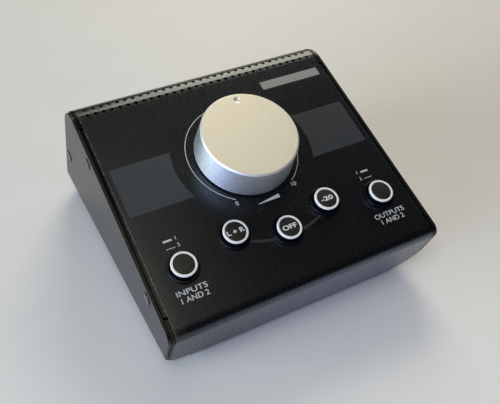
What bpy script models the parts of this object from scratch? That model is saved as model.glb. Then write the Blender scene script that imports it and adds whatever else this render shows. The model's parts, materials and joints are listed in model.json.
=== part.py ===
"""Desktop monitor controller: a wedge-shaped sheet steel case with a big volume knob and five push buttons.

Lengths are in metres. The panel frame has its origin where the knob's axis meets the panel's face, X to the
right, Y up the slope towards the rear and Z out of the panel. The world has +Z up and +Y to the rear.
"""
import math

import bmesh
import bpy
from mathutils import Matrix, Vector

for old in list(bpy.data.objects):
    bpy.data.objects.remove(old, do_unlink=True)

# Driving dimensions of the case, in the panel frame where it is not said otherwise
PANEL_SLOPE = math.radians(18.2)
CASE_HALF_WIDTH = 0.0930
CHEEK_SHEET = 0.0020
COVER_SHEET = 0.0015
CLEARANCE = 0.0003
NOSE_Y = -0.0955
REAR_Y = 0.0745
FRONT_WALL_DEPTH = 0.0450
NOSE_RADIUS = 0.0062
REAR_RADIUS = 0.0167
FLANGE_BEND_RADIUS = 0.0030
FLANGE_LENGTH = 0.0170
CASE_OVER_GROUND = 0.0025
LOWER_BEND_RADIUS = 0.0170
CHEEK_SETBACK = 0.0005
BEND_STEPS = 10
SMALL_BEND_STEPS = 4
LARGE_CUT = 0.4

# Side flanges of the cover between their relief notches, and the flanges of the rear wall
NOTCH_REAR_Y = 0.0516
NOTCH_FRONT_Y = -0.0829
NOTCH_LENGTH = 0.0016
NOTCH_DEPTH = 0.0026
SIDE_FLANGE_DEPTH = 0.0155
SIDE_BEND_RADIUS = 0.0022
SIDE_OVERLAP = 0.0030
REAR_FLANGE_LENGTH = 0.0150
REAR_FLANGE_TOP = -0.0280
REAR_FLANGE_BOTTOM = -0.0740
PAN_NOTCH_LENGTH = 0.0022
JOIN_STEP = 0.00004

# Vent holes in two rows along the rear bend
VENT_COUNT = 31
VENT_SIDE_INSET = 0.010425
VENT_RADIUS = 0.0013
VENT_LOWER_Y = 0.0594
VENT_UPPER_ANGLE = math.radians(25.2)
VENT_CUT = 0.0060
VENT_SIDES = 10

# Volume knob, its shaft and the potentiometer
KNOB_TOP_RADIUS = 0.03105
KNOB_BASE_RADIUS = 0.0322
KNOB_TOP_Z = 0.0221
KNOB_BASE_Z = 0.0015
KNOB_CHAMFER = 0.0009
KNOB_WALL = 0.0021
KNOB_CROWN = 0.0050
KNOB_HUB_RADIUS = 0.0080
KNOB_HUB_Z = 0.0070
KNOB_SIDES = 64
POINTER_X = 0.0039
POINTER_Y = 0.0255
POINTER_RADIUS = 0.0024
POINTER_DEPTH = 0.0009
POINTER_RINGS = 12
SHAFT_RADIUS = 0.0030
SHAFT_TOP_Z = 0.0165
SHAFT_FLAT = 0.0006
SHAFT_FLAT_LENGTH = 0.0080
SHAFT_DISC_RADIUS = 0.0057
SHAFT_DISC_HEIGHT = 0.0032
SHAFT_SIDES = 24
BUSHING_WALL = 0.0012
BUSHING_TOP_Z = 0.0060
POT_RADIUS = 0.0100
POT_FLOOR = 0.0017
POT_NUT_RADIUS = 0.0070
POT_NUT_HEIGHT = 0.0022
SET_SCREW_RADIUS = 0.00135
SET_SCREW_Z = 0.0120
SET_SCREW_SIDES = 12
SET_SCREW_SOCKET = 0.0007
SET_SCREW_SOCKET_DEPTH = 0.0015
ACCESS_RADIUS = 0.0018

# Push buttons: place of each on the panel, its cap, pale ring, collar, plunger and switch
OUTER_BUTTON_INSET = 0.0242
OUTER_BUTTON_Y = -0.0585
INNER_BUTTON_SHARE = 0.4657
INNER_BUTTON_Y = -0.05076
MIDDLE_BUTTON_Y = -0.0597
CAP_RADIUS = 0.00775
CAP_TOP_Z = 0.0054
CAP_BOSS_RADIUS = 0.00635
CAP_SHOULDER_Z = 0.0040
CAP_FLANGE_RADIUS = 0.0091
CAP_FLANGE_HEIGHT = 0.0014
CAP_FLANGE_GAP = 0.0005
CAP_SOCKET_RADIUS = 0.0031
CAP_SOCKET_TOP_Z = 0.0006
CAP_ROUND = 0.0003
RING_TOP_Z = 0.0055
RING_ROUND = 0.0004
COLLAR_RADIUS = 0.0099
COLLAR_TOP_Z = 0.0015
COLLAR_ROUND = 0.0004
BUTTON_SIDES = 32
BUTTON_HOLE_GAP = 0.00035
PLUNGER_WIDTH = 0.0038
PLUNGER_LENGTH = 0.0112
SWITCH_WIDTH = 0.0100
SWITCH_TOP_Z = -0.0075
SWITCH_WELL_WIDTH = 0.0048
SWITCH_FLOOR = 0.0012

# Boards, the posts between panel and board, and the ribbon cable
BOARD_THICKNESS = 0.0016
MAIN_BOARD_TOP_Z = -0.0168
MAIN_BOARD_INSET = 0.0080
MAIN_BOARD_FRONT_Y = -0.0820
MAIN_BOARD_REAR_Y = 0.0400
POST_RADIUS = 0.0030
POST_SIDES = 6
POST_INSET = 0.0130
POST_Y = -0.0760
JACK_BOARD_INSET = 0.0090
JACK_BOARD_TOP_Z = -0.0510
JACK_BOARD_BOTTOM_Z = -0.0770
RIBBON_WIDTH = 0.0240
RIBBON_THICKNESS = 0.0009
RIBBON_BEND_RADIUS = 0.0050
PLUG_LENGTH = 0.0080
PLUG_HEIGHT = 0.0060
UPPER_PLUG_Y = 0.0200
LOWER_PLUG_Z = -0.0620

# Sockets in the rear wall
OUTER_JACK_INSET = 0.0190
JACK_Z = -0.0640
JACK_BODY_WIDTH = 0.0145
JACK_BODY_LENGTH = 0.0240
JACK_NOSE_RADIUS = 0.0054
JACK_NOSE_OUT = 0.0035
JACK_BORE_RADIUS = 0.0034
JACK_BORE_LENGTH = 0.0270
JACK_MOUTH_CHAMFER = 0.0008
JACK_SIDES = 20

# Countersunk screws on the cheeks and under the floor, and the feet
REAR_SCREW_INSET = 0.0080
REAR_SCREW_Z = -0.0515
UPPER_SCREW_Y = 0.0301
UPPER_SCREW_Z = -0.0087
FRONT_SCREW_INSET = 0.0301
FRONT_SCREW_Z = -0.0072
SCREW_HEAD_RADIUS = 0.0037
SCREW_SHANK_RADIUS = 0.0015
SCREW_LENGTH = 0.0080
SCREW_HEAD_HEIGHT = 0.0017
SCREW_SINK = 0.0001
SCREW_SIDES = 16
SLOT_WIDTH = 0.0009
SLOT_LENGTH = 0.0040
SLOT_DEPTH = 0.0009
BASE_SCREW_SIDE_INSET = 0.0370
BASE_SCREW_INSET = 0.0110
BASE_SCREW_LENGTH = 0.0065
BASE_SCREW_HEAD_RADIUS = 0.0029
BASE_SCREW_HEAD_HEIGHT = 0.0012
FOOT_RADIUS = 0.0065
FOOT_SIDE_INSET = 0.0270
FOOT_INSET = 0.0300
FOOT_ROUND = 0.0008
FOOT_SIDES = 24

WELD = 0.000001
SMOOTH_ANGLE = math.radians(35)
FULL_TURN = 2 * math.pi

COS = math.cos(PANEL_SLOPE)
SIN = math.sin(PANEL_SLOPE)

# Heights of the panel frame's origin and of the sheets over the ground
ORIGIN_HEIGHT = CASE_OVER_GROUND + FRONT_WALL_DEPTH * COS - NOSE_Y * SIN
PAN_UNDERSIDE = CASE_OVER_GROUND + COVER_SHEET + CLEARANCE
PAN_TOP = PAN_UNDERSIDE + CHEEK_SHEET


def depth_at(height, y):
    """Panel frame Z of a level plane at a height over the ground, at a place up the slope."""
    return (height - ORIGIN_HEIGHT - y * SIN) / COS


def level_y(y, z):
    """Distance to the rear, along the ground, of a panel frame point from the panel frame's origin."""
    return y * COS - z * SIN


FRONT_REACH = level_y(NOSE_Y + NOSE_RADIUS, -NOSE_RADIUS) - NOSE_RADIUS
REAR_FOOT_Z = depth_at(CASE_OVER_GROUND, REAR_Y)
REAR_REACH = level_y(REAR_Y - FLANGE_BEND_RADIUS, REAR_FOOT_Z + FLANGE_BEND_RADIUS) + FLANGE_BEND_RADIUS
ORIGIN_SHIFT = -(FRONT_REACH + REAR_REACH) / 2


def finish(name, colour, roughness, metallic):
    """A Principled material with its own colour, roughness and metal share."""
    material = bpy.data.materials.new(name)
    material.use_nodes = True
    shader = material.node_tree.nodes["Principled BSDF"]
    shader.inputs["Base Color"].default_value = (*colour, 1)
    shader.inputs["Roughness"].default_value = roughness
    shader.inputs["Metallic"].default_value = metallic
    return material


COVER_COAT = finish("black_powder_coat", (0.014, 0.014, 0.015), 0.5, 0)
PAN_COAT = finish("black_satin_coat", (0.03, 0.031, 0.034), 0.48, 0)
KNOB_METAL = finish("satin_aluminium", (0.72, 0.71, 0.69), 0.34, 1)
CAP_BLACK = finish("black_gloss_plastic", (0.008, 0.008, 0.01), 0.22, 0)
RING_WHITE = finish("pale_light_ring", (0.82, 0.83, 0.82), 0.4, 0)
SCREW_STEEL = finish("dark_screw_steel", (0.09, 0.09, 0.095), 0.35, 1)
PLATED_STEEL = finish("plated_steel", (0.6, 0.6, 0.58), 0.3, 1)
SOCKET_PLASTIC = finish("socket_plastic", (0.02, 0.02, 0.021), 0.45, 0)
SWITCH_PLASTIC = finish("switch_plastic", (0.1, 0.1, 0.11), 0.5, 0)
PLUNGER_PLASTIC = finish("plunger_plastic", (0.75, 0.74, 0.68), 0.5, 0)
BOARD_GREEN = finish("circuit_board", (0.02, 0.11, 0.05), 0.45, 0)
RIBBON_GREY = finish("ribbon_cable_grey", (0.42, 0.43, 0.44), 0.5, 0)
FOOT_RUBBER = finish("foot_rubber", (0.02, 0.02, 0.02), 0.8, 0)

PANEL_FRAME = bpy.data.objects.new("panel_frame", None)
PANEL_FRAME.location = (0, ORIGIN_SHIFT, ORIGIN_HEIGHT)
PANEL_FRAME.rotation_euler = (PANEL_SLOPE, 0, 0)
bpy.context.collection.objects.link(PANEL_FRAME)


def settle(obj, location, parent):
    """Puts an object at its place, in the panel frame or in the world."""
    obj.location = location
    obj.parent = parent
    return obj


def from_bmesh(name, bm, material=None):
    """Turns a bmesh into a linked object with outward faces."""
    bmesh.ops.recalc_face_normals(bm, faces=bm.faces)
    mesh = bpy.data.meshes.new(name)
    bm.to_mesh(mesh)
    bm.free()
    if material:
        mesh.materials.append(material)
    obj = bpy.data.objects.new(name, mesh)
    bpy.context.collection.objects.link(obj)
    return obj


def lathe(name, profile, sides, material=None):
    """Turns a profile of (radius, height) points about local Z. It closes on the axis or on itself."""
    bm = bmesh.new()
    points = [bm.verts.new((radius, 0, height)) for radius, height in profile]
    edges = [bm.edges.new(pair) for pair in zip(points, points[1:])]
    if profile[0][0] > 0:
        edges.append(bm.edges.new((points[-1], points[0])))
    bmesh.ops.spin(bm, geom=points + edges, cent=(0, 0, 0), axis=(0, 0, 1), angle=FULL_TURN, steps=sides,
                   use_merge=True)
    bmesh.ops.remove_doubles(bm, verts=bm.verts, dist=WELD)
    return from_bmesh(name, bm, material)


def prism(name, outline, low, high, across, material=None):
    """Extrudes a flat outline along one axis, from low to high."""
    axis = "XYZ".index(across)
    travel = [0, 0, 0]
    travel[axis] = high - low

    def place(a, b):
        point = [a, b]
        point.insert(axis, low)
        return point

    bm = bmesh.new()
    face = bm.faces.new([bm.verts.new(place(a, b)) for a, b in outline])
    raised = bmesh.ops.extrude_face_region(bm, geom=[face])
    moved = [item for item in raised["geom"] if isinstance(item, bmesh.types.BMVert)]
    bmesh.ops.translate(bm, verts=moved, vec=travel)
    return from_bmesh(name, bm, material)


def block(name, low, high, material=None):
    """A box between two corners."""
    outline = [(low[0], low[1]), (high[0], low[1]), (high[0], high[1]), (low[0], high[1])]
    return prism(name, outline, low[2], high[2], "Z", material)


def rounded(corners, steps):
    """Rounds an open line of (a, b, radius) corners and returns its points."""
    points = []
    for index, (a, b, radius) in enumerate(corners):
        here = Vector((a, b))
        if radius == 0:
            points.append(here)
            continue
        back = (Vector(corners[index - 1][:2]) - here).normalized()
        ahead = (Vector(corners[index + 1][:2]) - here).normalized()
        half = back.angle(ahead) / 2
        middle = here + (back + ahead).normalized() * (radius / math.sin(half))
        start = here + back * (radius / math.tan(half)) - middle
        end = here + ahead * (radius / math.tan(half)) - middle
        sweep = start.angle_signed(end)
        for step in range(steps + 1):
            points.append(middle + Matrix.Rotation(-sweep * step / steps, 2) @ start)
    return [tuple(point) for point in points]


def combine(target, tool, operation):
    """Joins, cuts or intersects the target with a tool, keeps the result as its mesh and drops the tool."""
    modifier = target.modifiers.new(operation.lower(), "BOOLEAN")
    modifier.operation = operation
    modifier.solver = "EXACT"
    modifier.object = tool
    tool.hide_render = True
    tool.display_type = "WIRE"
    depsgraph = bpy.context.evaluated_depsgraph_get()
    result = bpy.data.meshes.new_from_object(target.evaluated_get(depsgraph))
    target.modifiers.clear()
    old_mesh = target.data
    target.data = result
    bpy.data.meshes.remove(old_mesh)
    bpy.data.objects.remove(tool, do_unlink=True)


def cut(target, tool):
    combine(target, tool, "DIFFERENCE")


def smooth(obj):
    """Shades round faces smooth and leaves the sharp edges sharp."""
    bm = bmesh.new()
    bm.from_mesh(obj.data)
    bmesh.ops.remove_doubles(bm, verts=bm.verts, dist=WELD)
    bmesh.ops.dissolve_degenerate(bm, edges=bm.edges, dist=WELD)
    bm.to_mesh(obj.data)
    bm.free()
    for polygon in obj.data.polygons:
        polygon.use_smooth = True
    obj.data.set_sharp_from_angle(angle=SMOOTH_ANGLE)
    return obj


def rods(name, ends, radius, sides):
    """One tool of separate round rods, each between two points."""
    bm = bmesh.new()
    for start, end in ends:
        start, end = Vector(start), Vector(end)
        turn = (end - start).to_track_quat("Z", "Y").to_matrix().to_4x4()
        place = Matrix.Translation((start + end) / 2) @ turn
        bmesh.ops.create_cone(bm, cap_ends=True, segments=sides, radius1=radius, radius2=radius,
                              depth=(end - start).length, matrix=place)
    return from_bmesh(name, bm)


def rounded_section(radius_gap, bottom, foot_half_width=0, foot_bottom=0):
    """Cross-section of the room inside the base pan, less a gap, open far above. It may have a lower foot."""
    half = CASE_HALF_WIDTH - radius_gap
    radius = LOWER_BEND_RADIUS - radius_gap
    side = [(half, LARGE_CUT, 0), (half, bottom, radius)]
    if foot_half_width:
        side += [(foot_half_width, bottom, 0), (foot_half_width, foot_bottom, 0)]
    left = [(-a, b, radius_) for a, b, radius_ in reversed(side)]
    return rounded(side + left, BEND_STEPS)


# Cover: one folded sheet from the front return flange over the nose, panel and rear bend to the rear flange
flange_step = (FLANGE_LENGTH * COS, -FLANGE_LENGTH * SIN)
front_foot_z = -FRONT_WALL_DEPTH
outer_line = [
    (NOSE_Y + flange_step[0], front_foot_z + flange_step[1], 0), (NOSE_Y, front_foot_z, FLANGE_BEND_RADIUS),
    (NOSE_Y, 0, NOSE_RADIUS), (REAR_Y, 0, REAR_RADIUS), (REAR_Y, REAR_FOOT_Z, FLANGE_BEND_RADIUS),
    (REAR_Y - flange_step[0], REAR_FOOT_Z - flange_step[1], 0)]
inner_front_y = NOSE_Y + COVER_SHEET
inner_rear_y = REAR_Y - COVER_SHEET
sheet_top = CASE_OVER_GROUND + COVER_SHEET
front_end = (outer_line[0][0] + COVER_SHEET * SIN, outer_line[0][1] + COVER_SHEET * COS)
rear_end = (outer_line[-1][0] + COVER_SHEET * SIN, outer_line[-1][1] + COVER_SHEET * COS)
inner_line = [
    (front_end[0], front_end[1], 0),
    (inner_front_y, depth_at(sheet_top, inner_front_y), FLANGE_BEND_RADIUS - COVER_SHEET),
    (inner_front_y, -COVER_SHEET, NOSE_RADIUS - COVER_SHEET),
    (inner_rear_y, -COVER_SHEET, REAR_RADIUS - COVER_SHEET),
    (inner_rear_y, depth_at(sheet_top, inner_rear_y), FLANGE_BEND_RADIUS - COVER_SHEET),
    (rear_end[0], rear_end[1], 0)]
cover_section = rounded(outer_line, BEND_STEPS) + rounded(inner_line, BEND_STEPS)[::-1]
cover_half = CASE_HALF_WIDTH - CHEEK_SHEET - CLEARANCE
top_cover = prism("top_cover", cover_section, -cover_half, cover_half, "X", COVER_COAT)
settle(top_cover, (0, 0, 0), PANEL_FRAME)

# The walls' lower corners follow the pan's bends, and only the middle reaches under the floor
foot_half = CASE_HALF_WIDTH - LOWER_BEND_RADIUS - PAN_NOTCH_LENGTH / 2
room = prism("room", rounded_section(CHEEK_SHEET + CLEARANCE, PAN_TOP + CLEARANCE, foot_half, -LARGE_CUT),
             -LARGE_CUT, LARGE_CUT, "Y")
combine(top_cover, room, "INTERSECT")

# Side flanges with rounded bends between the relief notches
notch_inner = cover_half - NOTCH_DEPTH
for side in (-1, 1):
    notch = block("notch", (min(side * notch_inner, side * LARGE_CUT), NOTCH_FRONT_Y, -LARGE_CUT / 2),
                  (max(side * notch_inner, side * LARGE_CUT), NOTCH_REAR_Y, LARGE_CUT / 2))
    top_gap = -COVER_SHEET - NOTCH_DEPTH
    settle(notch, (0, 0, LARGE_CUT / 2 + top_gap), PANEL_FRAME)
    cut(top_cover, notch)
    overlap = notch_inner - SIDE_OVERLAP
    outer = [(overlap, -JOIN_STEP, 0), (cover_half, -JOIN_STEP, SIDE_BEND_RADIUS),
             (cover_half, -SIDE_FLANGE_DEPTH, 0)]
    under = JOIN_STEP - COVER_SHEET
    inner = [(overlap, under, 0), (cover_half - COVER_SHEET, under, SIDE_BEND_RADIUS - COVER_SHEET),
             (cover_half - COVER_SHEET, -SIDE_FLANGE_DEPTH, 0)]
    corner = rounded(outer, SMALL_BEND_STEPS) + rounded(inner, SMALL_BEND_STEPS)[::-1]
    corner = [(side * a, b) for a, b in corner]
    flange = prism("flange", corner, NOTCH_FRONT_Y + NOTCH_LENGTH, NOTCH_REAR_Y - NOTCH_LENGTH, "Y")
    settle(flange, (0, 0, 0), PANEL_FRAME)
    combine(top_cover, flange, "UNION")
    low_x, high_x = sorted((side * (cover_half - JOIN_STEP), side * (cover_half - COVER_SHEET)))
    rear_flange = block("rear_flange", (low_x, REAR_Y - REAR_FLANGE_LENGTH, REAR_FLANGE_BOTTOM),
                        (high_x, REAR_Y - COVER_SHEET / 2, REAR_FLANGE_TOP))
    settle(rear_flange, (0, 0, 0), PANEL_FRAME)
    combine(top_cover, rear_flange, "UNION")

# Vent holes, square to the sheet where they are
vent_rods = []
vent_pitch = 2 * (CASE_HALF_WIDTH - VENT_SIDE_INSET) / (VENT_COUNT - 1)
bend_y = REAR_Y - REAR_RADIUS
for index in range(VENT_COUNT):
    vent_x = (index - (VENT_COUNT - 1) / 2) * vent_pitch
    vent_rods.append(((vent_x, VENT_LOWER_Y, -VENT_CUT), (vent_x, VENT_LOWER_Y, VENT_CUT)))
    lean = Vector((0, math.sin(VENT_UPPER_ANGLE), math.cos(VENT_UPPER_ANGLE)))
    hub = Vector((vent_x, bend_y, -REAR_RADIUS))
    vent_rods.append((hub + lean * (REAR_RADIUS - VENT_CUT), hub + lean * (REAR_RADIUS + VENT_CUT)))
cut(top_cover, settle(rods("vents", vent_rods, VENT_RADIUS, VENT_SIDES), (0, 0, 0), PANEL_FRAME))

# Holes for the buttons, the bushing and the sockets
outer_x = CASE_HALF_WIDTH - OUTER_BUTTON_INSET
inner_x = outer_x * INNER_BUTTON_SHARE
BUTTONS = {"source": (-outer_x, OUTER_BUTTON_Y), "mono": (-inner_x, INNER_BUTTON_Y),
           "mute": (0, MIDDLE_BUTTON_Y), "dim": (inner_x, INNER_BUTTON_Y),
           "monitor": (outer_x, OUTER_BUTTON_Y)}
button_rods = [((x, y, -VENT_CUT), (x, y, VENT_CUT)) for x, y in BUTTONS.values()]
button_hole = CAP_RADIUS + BUTTON_HOLE_GAP
cut(top_cover, settle(rods("button_holes", button_rods, button_hole, BUTTON_SIDES), (0, 0, 0), PANEL_FRAME))
bushing_radius = SHAFT_RADIUS + CLEARANCE + BUSHING_WALL
through = [((0, 0, -VENT_CUT), (0, 0, VENT_CUT))]
bushing_hole = rods("bushing_hole", through, bushing_radius + CLEARANCE, SHAFT_SIDES)
cut(top_cover, settle(bushing_hole, (0, 0, 0), PANEL_FRAME))
jack_shares = (0.16216, 0.41892, 0.74324, 1)
right_places = [share * (CASE_HALF_WIDTH - OUTER_JACK_INSET) for share in jack_shares]
jack_places = [-x for x in reversed(right_places)] + right_places
jack_rods = [((x, REAR_Y - VENT_CUT, JACK_Z), (x, REAR_Y + VENT_CUT, JACK_Z)) for x in jack_places]
jack_cutter = rods("jack_holes", jack_rods, JACK_NOSE_RADIUS + CLEARANCE, JACK_SIDES)
cut(top_cover, settle(jack_cutter, (0, 0, 0), PANEL_FRAME))

# Base pan: a floor and two cheeks from one sheet, trimmed to the side outline of the case
pan_outer = rounded_section(0, PAN_UNDERSIDE)
pan_inner = rounded_section(CHEEK_SHEET, PAN_TOP)
pan_section = pan_outer + pan_inner[::-1]
base_pan = prism("base_pan", pan_section, -LARGE_CUT, LARGE_CUT, "Y", PAN_COAT)
side_front = NOSE_Y + CHEEK_SETBACK
side_rear = REAR_Y - CHEEK_SETBACK
side_outline = rounded([
    (side_front, -LARGE_CUT / 2, 0), (side_front, -CHEEK_SETBACK, NOSE_RADIUS),
    (side_rear, -CHEEK_SETBACK, REAR_RADIUS), (side_rear, -LARGE_CUT / 2, 0)], BEND_STEPS)
wedge = settle(prism("wedge", side_outline, -LARGE_CUT, LARGE_CUT, "X"), (0, 0, 0), PANEL_FRAME)
combine(base_pan, wedge, "INTERSECT")

# The floor stops behind the walls' flanges, with a relief notch at each end
trim_half = CASE_HALF_WIDTH - LOWER_BEND_RADIUS + PAN_NOTCH_LENGTH / 2
front_trim_y = NOSE_Y + COVER_SHEET + FLANGE_BEND_RADIUS
rear_trim_y = REAR_Y - COVER_SHEET - FLANGE_BEND_RADIUS
for low_y, high_y in ((-LARGE_CUT, front_trim_y), (rear_trim_y, LARGE_CUT)):
    trim = block("trim", (-trim_half, low_y, -LARGE_CUT), (trim_half, high_y, 0))
    cut(base_pan, settle(trim, (0, 0, 0), PANEL_FRAME))


def screw(name, length, head_radius, head_height, location, parent, outward):
    """Countersunk screw with a cross recess. Its local Z points out of the sheet, its face lies at z = 0."""
    profile = [(0, 0), (head_radius, 0), (head_radius, -SCREW_SINK), (SCREW_SHANK_RADIUS, -head_height),
               (SCREW_SHANK_RADIUS, -length), (0, -length)]
    body = lathe(name, profile, SCREW_SIDES, SCREW_STEEL)
    reach = SLOT_LENGTH * head_radius / SCREW_HEAD_RADIUS / 2
    for across, along in ((SLOT_WIDTH / 2, reach), (reach, SLOT_WIDTH / 2)):
        cut(body, block("slot", (-across, -along, -SLOT_DEPTH), (across, along, SLOT_DEPTH)))
    body.rotation_euler = Vector(outward).to_track_quat("Z", "Y").to_euler()
    return settle(smooth(body), location, parent)


def countersink(head_radius, head_height, place, outward, parent, sheet):
    """Tool for a countersunk hole: a cone that fits a screw head with a gap, and a clearance hole."""
    wide = head_radius + CLEARANCE
    slim = SCREW_SHANK_RADIUS + CLEARANCE
    profile = [(0, sheet), (wide, sheet), (wide, -SCREW_SINK), (slim, -SCREW_SINK - head_height),
               (slim, -sheet), (0, -sheet)]
    tool = lathe("countersink", profile, SCREW_SIDES)
    tool.rotation_euler = Vector(outward).to_track_quat("Z", "Y").to_euler()
    return settle(tool, place, parent)


# Cheek screws run through the cheeks into the cover's flanges
cheek_screws = {"rear": (REAR_Y - REAR_SCREW_INSET, REAR_SCREW_Z), "upper": (UPPER_SCREW_Y, UPPER_SCREW_Z),
                "front": (NOSE_Y + FRONT_SCREW_INSET, FRONT_SCREW_Z)}
for side, side_name in ((-1, "left"), (1, "right")):
    for spot, (y, z) in cheek_screws.items():
        face = (side * CASE_HALF_WIDTH, y, z)
        outward = (side, 0, 0)
        screw("cheek_screw_%s_%s" % (side_name, spot), SCREW_LENGTH, SCREW_HEAD_RADIUS, SCREW_HEAD_HEIGHT,
              face, PANEL_FRAME, outward)
        cut(base_pan, countersink(SCREW_HEAD_RADIUS, SCREW_HEAD_HEIGHT, face, outward, PANEL_FRAME, VENT_CUT))
        hole_ends = ((side * (cover_half - VENT_CUT / 2), y, z), (side * (cover_half + VENT_CUT / 2), y, z))
        hole = rods("screw_hole", [hole_ends], SCREW_SHANK_RADIUS + CLEARANCE, SCREW_SIDES)
        cut(top_cover, settle(hole, (0, 0, 0), PANEL_FRAME))

# Base screws run up through the return flanges into the floor
base_screw_x = CASE_HALF_WIDTH - BASE_SCREW_SIDE_INSET
foot_x = CASE_HALF_WIDTH - FOOT_SIDE_INSET
front_foot_y = ORIGIN_SHIFT + level_y(NOSE_Y, front_foot_z)
rear_foot_y = ORIGIN_SHIFT + level_y(REAR_Y, REAR_FOOT_Z)
for side, side_name in ((-1, "left"), (1, "right")):
    for end, edge_y, inward in (("front", front_foot_y, 1), ("rear", rear_foot_y, -1)):
        y = edge_y + inward * BASE_SCREW_INSET
        face = (side * base_screw_x, y, CASE_OVER_GROUND)
        outward = (0, 0, -1)
        screw("base_screw_%s_%s" % (side_name, end), BASE_SCREW_LENGTH, BASE_SCREW_HEAD_RADIUS,
              BASE_SCREW_HEAD_HEIGHT, face, None, outward)
        cut(top_cover, countersink(BASE_SCREW_HEAD_RADIUS, BASE_SCREW_HEAD_HEIGHT, face, outward, None,
                                   COVER_SHEET + CLEARANCE / 2))
        hole_ends = ((side * base_screw_x, y, PAN_UNDERSIDE - CLEARANCE / 2),
                     (side * base_screw_x, y, PAN_UNDERSIDE + VENT_CUT))
        cut(base_pan, rods("screw_hole", [hole_ends], SCREW_SHANK_RADIUS + CLEARANCE, SCREW_SIDES))
        foot_top = PAN_UNDERSIDE - CLEARANCE
        foot_profile = [(0, 0), (FOOT_RADIUS - FOOT_ROUND, 0), (FOOT_RADIUS, FOOT_ROUND),
                        (FOOT_RADIUS, foot_top), (0, foot_top)]
        foot = lathe("foot_%s_%s" % (side_name, end), foot_profile, FOOT_SIDES, FOOT_RUBBER)
        settle(smooth(foot), (side * foot_x, edge_y + inward * FOOT_INSET, 0), None)

smooth(top_cover)
smooth(base_pan)

# Knob: a turned cap with a skirt, a hub with a blind bore, a pointer dimple and a hole for its set screw
bore_radius = SHAFT_RADIUS + CLEARANCE
crown_under = KNOB_TOP_Z - KNOB_CROWN
knob_profile = [
    (0, KNOB_TOP_Z), (KNOB_TOP_RADIUS - KNOB_CHAMFER, KNOB_TOP_Z),
    (KNOB_TOP_RADIUS, KNOB_TOP_Z - KNOB_CHAMFER),
    (KNOB_BASE_RADIUS, KNOB_BASE_Z), (KNOB_BASE_RADIUS - KNOB_WALL, KNOB_BASE_Z),
    (KNOB_TOP_RADIUS - KNOB_WALL, crown_under), (KNOB_HUB_RADIUS, crown_under), (KNOB_HUB_RADIUS, KNOB_HUB_Z),
    (bore_radius, KNOB_HUB_Z), (bore_radius, SHAFT_TOP_Z + CLEARANCE), (0, SHAFT_TOP_Z + CLEARANCE)]
volume_knob = lathe("volume_knob", knob_profile, KNOB_SIDES, KNOB_METAL)
ball_radius = (POINTER_RADIUS ** 2 + POINTER_DEPTH ** 2) / (2 * POINTER_DEPTH)
ball = bmesh.new()
bmesh.ops.create_uvsphere(ball, u_segments=SHAFT_SIDES, v_segments=POINTER_RINGS, radius=ball_radius)
cut(volume_knob, settle(from_bmesh("ball", ball),
                        (POINTER_X, POINTER_Y, KNOB_TOP_Z + ball_radius - POINTER_DEPTH), None))
pointer = Vector((POINTER_X, POINTER_Y, 0)).normalized()
lift = Vector((0, 0, SET_SCREW_Z))
middle_radius = (KNOB_HUB_RADIUS + KNOB_TOP_RADIUS) / 2
cut(volume_knob, rods("tapped", [(lift, lift + pointer * middle_radius)], SET_SCREW_RADIUS + CLEARANCE,
                      SET_SCREW_SIDES))
cut(volume_knob, rods("access", [(lift + pointer * middle_radius, lift + pointer * KNOB_BASE_RADIUS * 2)],
                      ACCESS_RADIUS, SET_SCREW_SIDES))
settle(smooth(volume_knob), (0, 0, 0), PANEL_FRAME)

# Set screw in the hub, from the shaft's flat to just inside the hub's face
flat_radius = SHAFT_RADIUS - SHAFT_FLAT
set_length = KNOB_HUB_RADIUS - flat_radius - CLEARANCE
set_profile = [(0, 0), (SET_SCREW_RADIUS, 0), (SET_SCREW_RADIUS, set_length),
               (SET_SCREW_SOCKET, set_length), (SET_SCREW_SOCKET, set_length - SET_SCREW_SOCKET_DEPTH),
               (0, set_length - SET_SCREW_SOCKET_DEPTH)]
set_screw = lathe("knob_set_screw", set_profile, SET_SCREW_SIDES, SCREW_STEEL)
turn = pointer.to_track_quat("Z", "Y").to_matrix().to_4x4()
set_screw.data.transform(Matrix.Translation(lift + pointer * (flat_radius + CLEARANCE)) @ turn)
settle(smooth(set_screw), (0, 0, 0), PANEL_FRAME)

# Potentiometer: the shaft with its inner disc and a flat, the body with its bushing, and the nut on the panel
pot_bottom = MAIN_BOARD_TOP_Z + CLEARANCE
room_floor = pot_bottom + POT_FLOOR
room_top = room_floor + SHAFT_DISC_HEIGHT + 2 * CLEARANCE
disc_bottom = room_floor + CLEARANCE
shaft_profile = [
    (0, disc_bottom), (SHAFT_DISC_RADIUS, disc_bottom), (SHAFT_DISC_RADIUS, disc_bottom + SHAFT_DISC_HEIGHT),
    (SHAFT_RADIUS, disc_bottom + SHAFT_DISC_HEIGHT), (SHAFT_RADIUS, SHAFT_TOP_Z), (0, SHAFT_TOP_Z)]
pot_shaft = lathe("pot_shaft", shaft_profile, SHAFT_SIDES, PLATED_STEEL)
flat_tool = block("flat", (flat_radius, -SHAFT_RADIUS * 2, SHAFT_TOP_Z - SHAFT_FLAT_LENGTH),
                  (SHAFT_RADIUS * 2, SHAFT_RADIUS * 2, SHAFT_TOP_Z + SHAFT_FLAT_LENGTH))
flat_tool.rotation_euler = (0, 0, math.atan2(POINTER_Y, POINTER_X))
cut(pot_shaft, flat_tool)
settle(smooth(pot_shaft), (0, 0, 0), PANEL_FRAME)
pot_top = -COVER_SHEET - CLEARANCE
pot_profile = [
    (0, pot_bottom), (POT_RADIUS, pot_bottom), (POT_RADIUS, pot_top), (bushing_radius, pot_top),
    (bushing_radius, BUSHING_TOP_Z), (bore_radius, BUSHING_TOP_Z), (bore_radius, room_top),
    (SHAFT_DISC_RADIUS + CLEARANCE, room_top), (SHAFT_DISC_RADIUS + CLEARANCE, room_floor), (0, room_floor)]
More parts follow.
